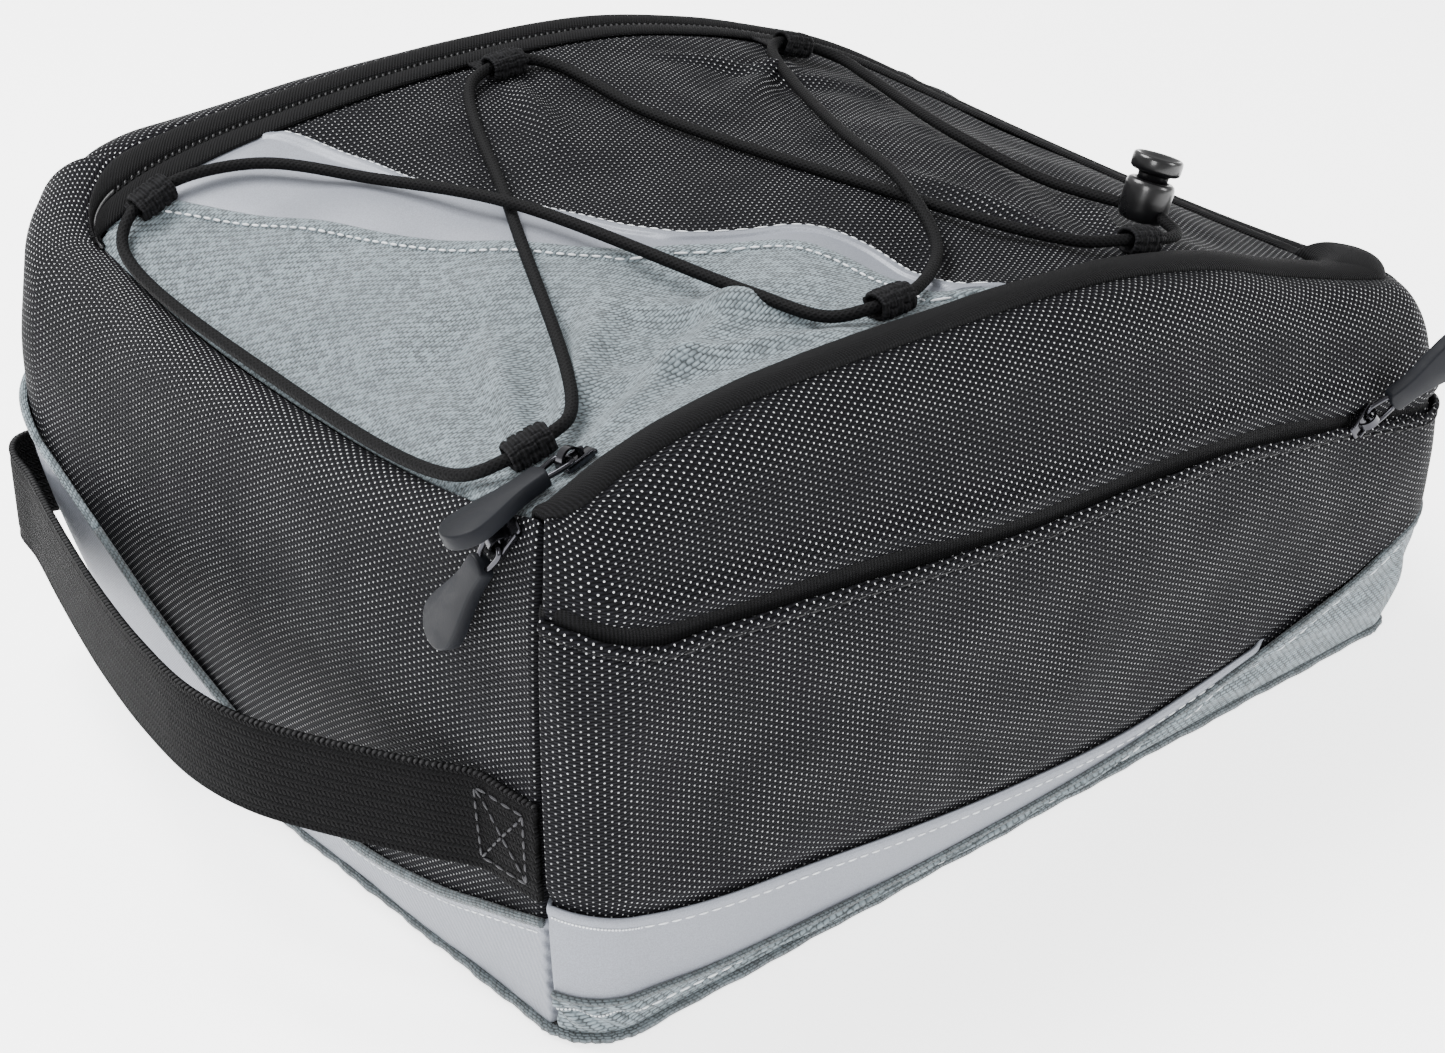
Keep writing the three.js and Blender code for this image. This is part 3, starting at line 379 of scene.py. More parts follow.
def off_wall(place, rise, distance):
    along = wall_point(place + 0.2, rise) - wall_point(place - 0.2, rise)
    up = wall_point(place, min(rise + 0.03, 1)) - wall_point(place, max(rise - 0.03, 0))
    return wall_point(place, rise) + along.cross(up).normalized() * distance


def wall_frame(place, z):
    """A point on the outer face at a height, its outward normal and its way along"""
    rise = rise_at(place, z)
    along = (wall_point(place + 0.2, rise) - wall_point(place - 0.2, rise)).normalized()
    up = wall_point(place, min(rise + 0.03, 1)) - wall_point(place, max(rise - 0.03, 0))
    return wall_point(place, rise), along.cross(up).normalized(), along


def long_line(column):
    def line(place):
        return HEIGHT * table_value(LONG_WALL, column, ring_point(FOOT, place)[0] / LENGTH)
    return line


def end_line(place):
    return HEIGHT * table_value(END_WALL, 1, ring_point(FOOT, place)[1] / WIDTH)


GREY_LINE = long_line(2)
POCKET_LINE = long_line(1)
SILVER_LINE = long_line(3)


def strip_top(place):
    return max(SILVER_LINE(place), GREY_LINE(place) + 0.0007)


def rim_point(place, share, lift=0.0):
    """Between the walls' top edge, share 0, and the lid, share 1"""
    ox, oy = ring_point(TOP, place)[:2]
    ix, iy = ring_point(RIM, place)[:2]
    x, y = mix(ox, ix, share), mix(oy, iy, share)
    return Vector((x, y, top_height(x, y) + lift))


def lid_frame(x, y):
    e = 0.003
    sx = Vector((2 * e, 0, lid_height(x + e, y) - lid_height(x - e, y)))
    sy = Vector((0, 2 * e, lid_height(x, y + e) - lid_height(x, y - e)))
    return Vector((x, y, lid_height(x, y))), sx.cross(sy).normalized()


def curve_points(points, count):
    """A smooth curve through points, cut into equal lengths"""
    points = [Vector(p) for p in points]
    knots = [0.0]
    for a, b in zip(points, points[1:]):
        knots.append(knots[-1] + max((b - a).length, 1e-6) ** 0.5)

    def at(i, t):
        p0 = points[i - 1] if i > 0 else points[0] * 2 - points[1]
        p3 = points[i + 2] if i + 2 < len(points) else points[-1] * 2 - points[-2]
        p1, p2 = points[i], points[i + 1]
        t0 = knots[i] - ((p1 - p0).length ** 0.5)
        t1, t2 = knots[i], knots[i + 1]
        t3 = t2 + ((p3 - p2).length ** 0.5)
        u = mix(t1, t2, t)
        a1 = p0 * ((t1 - u) / (t1 - t0)) + p1 * ((u - t0) / (t1 - t0))
        a2 = p1 * ((t2 - u) / (t2 - t1)) + p2 * ((u - t1) / (t2 - t1))
        a3 = p2 * ((t3 - u) / (t3 - t2)) + p3 * ((u - t2) / (t3 - t2))
        b1 = a1 * ((t2 - u) / (t2 - t0)) + a2 * ((u - t0) / (t2 - t0))
        b2 = a2 * ((t3 - u) / (t3 - t1)) + a3 * ((u - t1) / (t3 - t1))
        return b1 * ((t2 - u) / (t2 - t1)) + b2 * ((u - t1) / (t2 - t1))

    fine = [at(i, k / 24) for i in range(len(points) - 1) for k in range(24)] + [points[-1].copy()]
    lengths = [0.0]
    for a, b in zip(fine, fine[1:]):
        lengths.append(lengths[-1] + (b - a).length)
    result, k = [], 0
    for n in range(count + 1):
        target = lengths[-1] * n / count
        while k < len(fine) - 2 and lengths[k + 1] < target:
            k += 1
        span = max(lengths[k + 1] - lengths[k], 1e-9)
        result.append(fine[k].lerp(fine[k + 1], clamp((target - lengths[k]) / span, 0, 1)))
    return result, lengths[-1]


def soft(co, scale, seed=0.0):
    return noise.noise(Vector((co.x / scale + seed, co.y / scale - seed, co.z / scale + 2 * seed)))


# Mesh helpers

def finish_piece(name, bm, material, *nodes, body=BAG, slot=None):
    mesh = bpy.data.meshes.new(name)
    for face in bm.faces:
        face.smooth = True
    bm.to_mesh(mesh)
    bm.free()
    piece = bpy.data.objects.new(name, mesh)
    bpy.context.scene.collection.objects.link(piece)
    mesh.materials.append(material)
    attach(piece, body)
    if nodes:
        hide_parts(*nodes)
    return piece


def new_grid(columns, rows):
    """A flat grid, and the column and row of each of its corners"""
    bm = bmesh.new()
    bmesh.ops.create_grid(bm, x_segments=columns, y_segments=rows, size=1.0)
    return bm, {v: (round((v.co.x + 1) / 2 * columns), round((v.co.y + 1) / 2 * rows)) for v in bm.verts}


def lay_uv(bm, flat):
    """The weave's own map, in metres, from flat(corner)"""
    layer = bm.loops.layers.uv.new("cloth")
    for face in bm.faces:
        for loop in face.loops:
            loop[layer].uv = flat(loop.vert)


def close_up(bm):
    bmesh.ops.remove_doubles(bm, verts=bm.verts, dist=1e-6)
    bmesh.ops.recalc_face_normals(bm, faces=bm.faces)


def spread(t, tight):
    """Moves grid lines towards both edges"""
    return t - tight * math.sin(2 * math.pi * t) / (2 * math.pi)


def cloth_panel(name, columns, rows, point, material, detail, thickness=0.0014, tight=(0.55, 0.55),
                flat_uv=False, nodes=(), slot="black_fabric", foot=None):
    """A cloth panel: a grid laid on point(s, t) and pushed along its normals by detail(s, t, place).

    Its UV map is in metres, so that the weave keeps its size: x and y for a flat panel, otherwise the way
    along the panel and the way up it.
    """
    bm, places = new_grid(columns, rows)
    shares, grid, flat = {}, {}, {}
    for v, (i, j) in places.items():
        shares[v] = spread(i / columns, tight[0]), spread(j / rows, tight[1])
        v.co = point(*shares[v])
        grid[i, j] = v.co.copy()
    along = [0.0]
    middle = rows // 2
    for i in range(1, columns + 1):
        along.append(along[-1] + (grid[i, middle] - grid[i - 1, middle]).length)
    for i in range(columns + 1):
        up = grid[i, 0].z if foot is None else foot
        for j in range(rows + 1):
            if j:
                up += (grid[i, j] - grid[i, j - 1]).length
            flat[i, j] = (grid[i, j].x, grid[i, j].y) if flat_uv else (along[i], up)
    lay_uv(bm, lambda v: flat[places[v]])
    bm.normal_update()
    moves = {v: v.normal * detail(*shares[v], v.co) for v in bm.verts}
    for v, move in moves.items():
        v.co += move
    piece = finish_piece(name, bm, material, *nodes, slot=slot)
    wall = piece.modifiers.new("Cloth", "SOLIDIFY")
    wall.thickness = thickness
    wall.offset = -1
    return piece


def tube(name, path, radius, around, material, nodes=(), slot="webbing", body=BAG, closed=False,
         up=(0, 0, 1)):
    """A round section swept along points"""
    bm, places = new_grid(len(path) if closed else len(path) - 1, around)
    frames = []
    up = Vector(up)
    for k, p in enumerate(path):
        before = path[k - 1] if (k or closed) else p
        after = path[(k + 1) % len(path)] if (k + 1 < len(path) or closed) else p
        run = (after - before).normalized()
        side = run.cross(up).normalized()
        frames.append((p, side, side.cross(run).normalized()))
    steps = [0.0]
    for a, b in zip(path, path[1:] + ([path[0]] if closed else [])):
        steps.append(steps[-1] + (b - a).length)
    lay_uv(bm, lambda v: (steps[places[v][0]], 2 * math.pi * radius * places[v][1] / around))
    for v, (i, j) in places.items():
        p, side, lift = frames[i % len(frames)]
        angle = 2 * math.pi * j / around
        v.co = p + side * math.cos(angle) * radius + lift * math.sin(angle) * radius
    bmesh.ops.remove_doubles(bm, verts=bm.verts, dist=1e-6)
    if not closed:
        bmesh.ops.holes_fill(bm, edges=[e for e in bm.edges if e.is_boundary], sides=0)
    bmesh.ops.recalc_face_normals(bm, faces=bm.faces)
    return finish_piece(name, bm, material, *nodes, slot=slot, body=body)


def frame_matrix(at, run, up):
    run = run.normalized()
    side = up.cross(run).normalized()
    up = run.cross(side)
    return Matrix((
        (run.x, side.x, up.x, at.x),
        (run.y, side.y, up.y, at.y),
        (run.z, side.z, up.z, at.z),
        (0, 0, 0, 1),
    ))


def corners_of(geometry):
    return [g for g in geometry if isinstance(g, bmesh.types.BMVert)]


def track_length(points):
    return sum((b - a).length for a, b in zip(points, points[1:]))


def stitches(name, track, length, material, thread=0.0004):
    """Small sunk capsules along a track of (point, normal) pairs"""
    stitch = sizes().stitch_length
    pitch = stitch * 1.28
    lift = 0.00015
    count = max(int(length / pitch), 1)
    bm = bmesh.new()
    for k in range(count):
        a, normal = track((k + 0.1) / count)
        b, _ = track((k + 0.1 + stitch / pitch * 0.98) / count)
        run = b - a
        if run.length < 1e-5:
            continue
        at = (a + b) / 2 + normal * lift
        scale = Matrix.Diagonal((run.length / 2, thread, thread * 0.8, 1))
        bmesh.ops.create_uvsphere(bm, u_segments=6, v_segments=5, radius=1,
                                  matrix=frame_matrix(at, run, normal) @ scale
                                  @ Matrix.Rotation(math.pi / 2, 4, "Y"))
    return finish_piece(name, bm, material, slot="webbing")


def laid_on(piece, track):
    """The same track, moved onto the outer face of a finished piece"""
    mesh = piece.data
    tree = BVHTree.FromPolygons([v.co for v in mesh.vertices], [tuple(p.vertices) for p in mesh.polygons])
    reach = 0.012

    def on_piece(t):
        at, normal = track(t)
        hit, face, _, _ = tree.ray_cast(at + normal * reach, -normal, 2 * reach)
        if hit is None:
            return at, normal
        return hit, face if face.dot(normal) > 0 else -face
    return on_piece


def lathe(name, profile, base, axis, material, node, body):
    """A profile of (radius, height) spun round an axis"""
    bm = bmesh.new()
    verts = [bm.verts.new((r, 0, h)) for r, h in profile]
    edges = [bm.edges.new(pair) for pair in zip(verts, verts[1:])]
    bmesh.ops.spin(bm, geom=verts + edges, cent=(0, 0, 0), axis=(0, 0, 1), dvec=(0, 0, 0),
                   angle=2 * math.pi, steps=40, use_merge=True)
    close_up(bm)
    turn = Vector((0, 0, 1)).rotation_difference(axis).to_matrix().to_4x4()
    bmesh.ops.transform(bm, matrix=Matrix.Translation(base) @ turn, verts=bm.verts)
    piece = finish_piece(name, bm, material, node, body=body, slot="black_plastic")
    piece.data.set_sharp_from_angle(angle=math.radians(50))


# Materials

class Signal:
    """A socket's value that can be added, multiplied and so on, each step a maths node"""

    def __init__(self, finish, socket):
        self.finish = finish
        self.socket = socket

    def math(self, operation, other=0.0):
        return self.finish.math(operation, self, other)

    def __add__(self, other):
        return self.math("ADD", other)

    def __sub__(self, other):
        return self.math("SUBTRACT", other)

    def __rsub__(self, other):
        return self.finish.math("SUBTRACT", other, self)

    def __mul__(self, other):
        return self.math("MULTIPLY", other)

    def __truediv__(self, other):
        return self.math("DIVIDE", other)

    def sine(self):
        return self.math("SINE")

    def centred(self):
        """Distance from the middle of a unit cell, -0.5 to 0.5"""
        return self.math("FRACT") - 0.5


class Finish:
    """A material's node tree with short calls for its steps"""

    def __init__(self, name):
        self.material = bpy.data.materials.new(name)
        self.material.use_nodes = True
        self.nodes = self.material.node_tree.nodes
        self.links = self.material.node_tree.links
        self.shader = self.nodes["Principled BSDF"]

    def node(self, kind, **settings):
        made = self.nodes.new(kind)
        for key, value in settings.items():
            setattr(made, key, value)
        return made

    def join(self, source, socket):
        if isinstance(source, Signal):
            self.links.new(source.socket, socket)
        else:
            socket.default_value = source

    def math(self, operation, a, b):
        made = self.node("ShaderNodeMath", operation=operation)
        self.join(a, made.inputs[0])
        self.join(b, made.inputs[1])
        return Signal(self, made.outputs[0])

    def step(self, value, low, high, to_low=0.0, to_high=1.0):
        made = self.node("ShaderNodeMapRange", interpolation_type="SMOOTHSTEP")
        for entry, socket in zip((value, low, high, to_low, to_high), made.inputs):
            self.join(entry, socket)
        return Signal(self, made.outputs[0])

    def parts(self, socket):
        split = self.node("ShaderNodeSeparateXYZ")
        self.links.new(socket, split.inputs[0])
        return [Signal(self, part) for part in split.outputs]

    def cloth_uv(self):
        return self.parts(self.node("ShaderNodeUVMap", uv_map="cloth").outputs[0])[:2]

    def grain(self, scale, detail=2.0, rough=0.5):
        made = self.node("ShaderNodeTexNoise")
        made.inputs["Scale"].default_value = scale
        made.inputs["Detail"].default_value = detail
        made.inputs["Roughness"].default_value = rough
        self.links.new(self.node("ShaderNodeTexCoord").outputs["Object"], made.inputs["Vector"])
        return Signal(self, made.outputs["Fac"])

    def blend(self, share, a, b):
        made = self.node("ShaderNodeMix", data_type="RGBA")
        self.join(share, made.inputs["Factor"])
        for value, socket in ((a, made.inputs[6]), (b, made.inputs[7])):
            self.join(value if isinstance(value, Signal) else (*value, 1.0), socket)
        return Signal(self, made.outputs[2])

    def relief(self, height, distance, strength):
        made = self.node("ShaderNodeBump")
        made.inputs["Distance"].default_value = distance
        made.inputs["Strength"].default_value = strength
        self.join(height, made.inputs["Height"])
        self.links.new(made.outputs[0], self.shader.inputs["Normal"])

    def colour(self, signal):
        self.join(signal, self.shader.inputs["Base Color"])

    def set(self, **values):
        for key, value in values.items():
            self.join(value, self.shader.inputs[key.replace("_", " ")])


def made_once(build):
    """Makes the named material the first time, and finds it again after that"""
    def find(name, *settings, **options):
        if name not in bpy.data.materials:
            build(Finish(name), *settings, **options)
        return bpy.data.materials[name]
    return find


def scaled(colour, factor):
    return tuple(c * factor for c in colour)


@made_once
def dotted_cloth(f):
    """Black ribbed cloth whose light threads show as staggered dots"""
    black, light = colours().black, colours().dots
    u, v = f.cloth_uv()
    u = u / sizes().dot_width
    v = v / sizes().dot_height
    masks = []
    for shift in (0.0, 0.5):
        du = (u + shift).centred() * 1.7
        dv = (v + shift).centred()
        masks.append(f.step((du * du + dv * dv).math("SQRT"), 0.09, 0.16, 1.0, 0.0))
    dots = masks[0].math("MAXIMUM", masks[1])
    row = v * 2.0
    across = row.centred()
    along = (u + row.math("FLOOR") * 0.5).centred()
    rib = 1.0 - across * across * 4.0
    thread = rib * f.step(along.math("ABSOLUTE"), 0.08, 0.3, 0.35, 1.0)
    # Painted shade and highlight: the gaps between the threads are darkened and the float tops lightened by
    # the thread height.
    ground_with_painted_light = f.blend(thread, scaled(black, 0.05), scaled(black, 1.6))
    # Painted highlight: dots on sloping faces, where the normal turns partly up, take the full dot colour.
    # Elsewhere the dots are dimmer, with random tone.
    turned_up = f.parts(f.node("ShaderNodeTexCoord").outputs["Normal"])[2]
    painted_highlight_crown = f.step(turned_up, 0.12, 0.4) * f.step(turned_up, 0.93, 0.72)
    dim = f.blend(f.step(f.grain(60, 3), 0.3, 0.7), scaled(light, 0.3), scaled(light, 0.62))
    f.colour(f.blend(dots, ground_with_painted_light, f.blend(painted_highlight_crown, dim, light)))
    f.set(Roughness=0.7, Specular_IOR_Level=0.06)
    f.relief(thread + dots * 0.5, 0.0004, 0.9)


@made_once
def woven_cloth(f, colour, cell=(0.0027, 0.00095)):
    """Twill whose floats step sideways from row to row"""
    u, v = f.cloth_uv()
    wander = (f.grain(160, 2) - 0.5) * 0.9
    v = v / cell[1] + wander
    along = (u / cell[0] + v.math("FLOOR") * (1 / 3)).centred()
    across = v.centred()
    ends = 1.0 - (along.math("ABSOLUTE") * 2.0).math("POWER", 2.5)
    height = (1.0 - across * across * 4.0) * ends
    fibre = f.grain(1500, 2)
    slub = f.grain(420, 2, 0.6)
    # Painted shade and highlight: the grooves are darkened and the float tops lightened by the weave's
    # height. The fibre, slub and mottle blends below are random tone.
    base = f.blend(f.step(height, 0.08, 0.75), scaled(colour, 0.16), scaled(colour, 1.45))
    base = f.blend(f.step(fibre, 0.5, 0.75, 0.0, 0.35), base, scaled(colour, 1.75))
    base = f.blend(f.step(slub, 0.5, 0.66, 0.0, 0.6), base, scaled(colour, 0.35))
    base = f.blend(f.step(slub, 0.5, 0.33, 0.0, 0.45), base, scaled(colour, 2.0))
    f.colour(f.blend(f.step(f.grain(38, 4, 0.6), 0.35, 0.7, 0.0, 0.25), base, scaled(colour, 0.7)))
    f.set(Roughness=0.7, Specular_IOR_Level=0.3, Sheen_Weight=0.12)
    f.relief(height, 0.0003, 0.9)


@made_once
def reflective_cloth(f, ribs=0.0):
    """Silver cloth with a fine glass-bead grain, and fine slanting ribs on the end panel"""
    silver = colours().silver
    grain = f.grain(2600, 1)
    fine = f.blend(f.step(grain, 0.35, 0.65), scaled(silver, 0.86), scaled(silver, 1.1))
    f.colour(f.blend(f.step(f.grain(22, 3, 0.55), 0.3, 0.7, 0.0, 0.3), fine, scaled(silver, 0.82)))
    f.set(Roughness=0.5, Metallic=0.25, Specular_IOR_Level=0.5)
    if not ribs:
        f.relief(grain, 0.00008, 0.6)
        return
    u, v = f.cloth_uv()
    slant = (u + v * 0.45) / ribs
    f.relief((slant * (2 * math.pi)).sine() * 1.2 + grain, 0.00016, 0.6)


@made_once
def ribbed_tape(f, pitch, tone=1.0, weave=0.0006):
    """Black webbing or tape with ribs across it"""
    black = scaled(colours().webbing, tone)
    u, v = f.cloth_uv()
    rib = (u * (2 * math.pi / pitch)).sine()
    cross = (v * (2 * math.pi / weave)).sine()
    height = rib * 0.5 + cross * 0.22 + f.grain(900, 2) * 0.3
    # Painted shade and highlight: rib grooves darkened and rib tops lightened by the rib height, with random
    # tone from the grain.
    f.colour(f.blend(f.step(height, -0.4, 0.7), scaled(black, 0.35), scaled(black, 1.7)))
    f.set(Roughness=0.8, Specular_IOR_Level=0.12)
    f.relief(height, 0.0003, 0.8)


@made_once
def webbing_twill(f):
    """Black webbing with slanting twill lines"""
    black = colours().webbing
    u, v = f.cloth_uv()
    column = v / 0.0016
    way = column.math("FLOOR").math("MODULO", 2.0) * 2.0 - 1.0
    twill = ((u + v * 0.6 * way) * (2 * math.pi / 0.0014)).sine()
    ridge = 1.0 - column.centred().math("POWER", 2.0) * 4.0
    height = twill * 0.5 + ridge * 0.5
    # Painted shade and highlight: twill grooves darkened and ridge tops lightened by their height.
    f.colour(f.blend(f.step(height, -0.3, 0.9), scaled(black, 0.15), scaled(black, 1.1)))
    f.set(Roughness=0.8, Specular_IOR_Level=0.07)
    f.relief(height, 0.0005, 0.9)


@made_once
def braided_cord(f):
    """Black woven sleeve of the elastic cord"""
    black = colours().webbing
    u, v = f.cloth_uv()
    around = v / (2 * math.pi * sizes().cord_diameter / 2 / 14)
    along = u / 0.0009
    height = ((along + around) * math.pi).sine().math("MAXIMUM", ((along - around) * math.pi).sine())
    # Painted shade and highlight: the braid's hollows darkened and its raised crossings lightened by their
    # height.
    f.colour(f.blend(f.step(height, 0.0, 0.9), scaled(black, 0.25), scaled(black, 1.2)))
    f.set(Roughness=0.75, Specular_IOR_Level=0.1)
    f.relief(height, 0.00012, 0.7)


@made_once
def plain_finish(f, colour, rough, metal=0.0, coat=0.0, grain=700, deep=0.00005, shine=0.3):
    """Moulded or metal pieces with a faint texture and wear"""
    wear = f.grain(70, 4, 0.65)
    f.colour(f.blend(f.step(wear, 0.35, 0.75), colour, scaled(colour, 1.35)))
    f.set(Metallic=metal, Coat_Weight=coat, Coat_Roughness=0.15, Specular_IOR_Level=shine,
          Roughness=f.step(wear, 0.3, 0.7, rough * 0.85, rough * 1.15))
    f.relief(f.grain(grain, 3), deep, 0.5)


@made_once
def studio_floor(f):
    """Pale and nearly even, lit a little from itself"""
    f.colour(f.blend(f.step(f.grain(3, 2), 0.3, 0.7), (0.96, 0.96, 0.96), (0.98, 0.98, 0.98)))
    f.set(Roughness=0.9, Specular_IOR_Level=0.1, Emission_Color=(1, 1, 1, 1), Emission_Strength=2.4)


def grey_cloth():
    return woven_cloth("Grey cloth", colours().grey)


def thread_finish():
    return plain_finish("Light thread", colours().thread, 0.7, grain=2500)


def dark_thread():
    return plain_finish("Dark thread", scaled(colours().webbing, 1.6), 0.7, grain=2500)


# Pieces

class BAG_OT_walls(bpy.types.Operator):
    """The four dotted walls and the pocket on the near side"""
    bl_idname = "bag.walls"
    bl_label = "Walls"

    def execute(self, context):
        deep = sizes().fold_depth
        dotted = dotted_cloth("Dotted cloth")

        def brow(place, co):
            """The near wall bulges over the pocket's zip"""
            over = co.z - POCKET_LINE(place)
            share = smooth(1.5, 4.0, place) * smooth(20.0, 17.0, place)
            return share * (0.0030 * bump(over - 0.0085, 0.0052) - 0.0016 * bump(over - 0.0018, 0.0030))

        def wall(name, start, end, low, columns, rows, node):
            width = (wall_point(end, 0.4) - wall_point(start, 0.4)).length

            def point(s, t):
                place = mix(start, end, s)
                foot = rise_at(place, low(place)) if low else 0.0
                return wall_point(place, mix(foot, 1.0, t))

            def detail(s, t, co):
                edge = min(s, 1 - s) * width
                tuck = -0.0022 * bump(edge, 0.0028) - 0.0012 * bump((1 - t) * 0.13, 0.0016)
                puff = 0.0009 * bump(edge - 0.011, 0.008)
                wave = deep * (soft(co, 0.062, 1.3) + 0.45 * soft(co, 0.027, 4.1))
                over_zip = brow(mix(start, end, s), co) if low else 0.0
                return tuck + puff + over_zip + wave * smooth(0, 0.02, edge) * smooth(0, 0.2, 1 - t)

            cloth_panel(name, columns, rows, point, dotted, detail, nodes=(node,), thickness=0.0016)

        wall("near_wall_cloth", NEAR_SEAM, 19.98, lambda p: POCKET_LINE(p) - 0.006, 200, 84, "near_wall")
        wall("plain_end_cloth", 20.02, 29.98, None, 110, 80, "plain_end_wall")
        wall("far_wall_cloth", 30.02, 44.98, None, 120, 70, "far_wall")
        wall("handle_end_cloth", 45.02, 60 + NEAR_SEAM, None, 150, 110, "handle_end_wall")

        def pocket(s, t):
            place = mix(NEAR_SEAM + 0.02, 19.98, s)
            low = rise_at(place, strip_top(place) - 0.004)
            high = rise_at(place, POCKET_LINE(place))
            return wall_point(place, mix(low, high, t))

        def pocket_detail(s, t, co):
            edge = min(s, 1 - s) * 0.33
            tall = 0.085
            down = (1 - t) * tall
            hem = 0.0008 * smooth(0.0042, 0.0030, down) - 0.0006 * bump(down - 0.0036, 0.0008)
            lip = -0.0014 * bump(down, 0.0010)
            sag = 0.0022 * math.sin(math.pi * s) ** 0.7 * bump(down - 0.012, 0.03)
            wave = deep * (0.9 * soft(co, 0.055, 7.7) + 0.5 * soft(co, 0.024, 2.2))
            pull = 0.0010 * math.sin(9 * (s * 3.1 + t)) * bump(edge - 0.02, 0.03) * t
            slant = 0.0009 * soft(Vector((co.x * 0.7 + co.z * 0.9, co.x * 0.2, co.z * 0.15)), 0.016, 5.9)
            wave += slant * smooth(0.0, 0.3, s)
            return (0.0021 + hem + lip + sag + (wave + pull) * smooth(0, 0.03, edge) * smooth(0, 0.1, t)
                    - 0.0032 * bump(edge, 0.0028) - 0.0021 * smooth(0.12, 0.04, t))

        cloth_panel("pocket_cloth", 210, 110, pocket, dotted, pocket_detail, nodes=("pocket_panel",))

        def tape(s, t):
            place = mix(NEAR_SEAM + 0.1, 19.95, s)
            low = rise_at(place, POCKET_LINE(place) - 0.002)
            high = rise_at(place, POCKET_LINE(place) + 0.0045)
            return wall_point(place, mix(low, high, t))

        def tape_detail(s, t, co):
            return 0.0006 * math.sin(math.pi * t) ** 0.6 + 0.0001

        cloth_panel("pocket_zip_tape", 200, 14, tape, ribbed_tape("Zip tape", 0.0011), tape_detail,
                    nodes=("pocket_zip",), slot="webbing", thickness=0.0008)
        return {"FINISHED"}


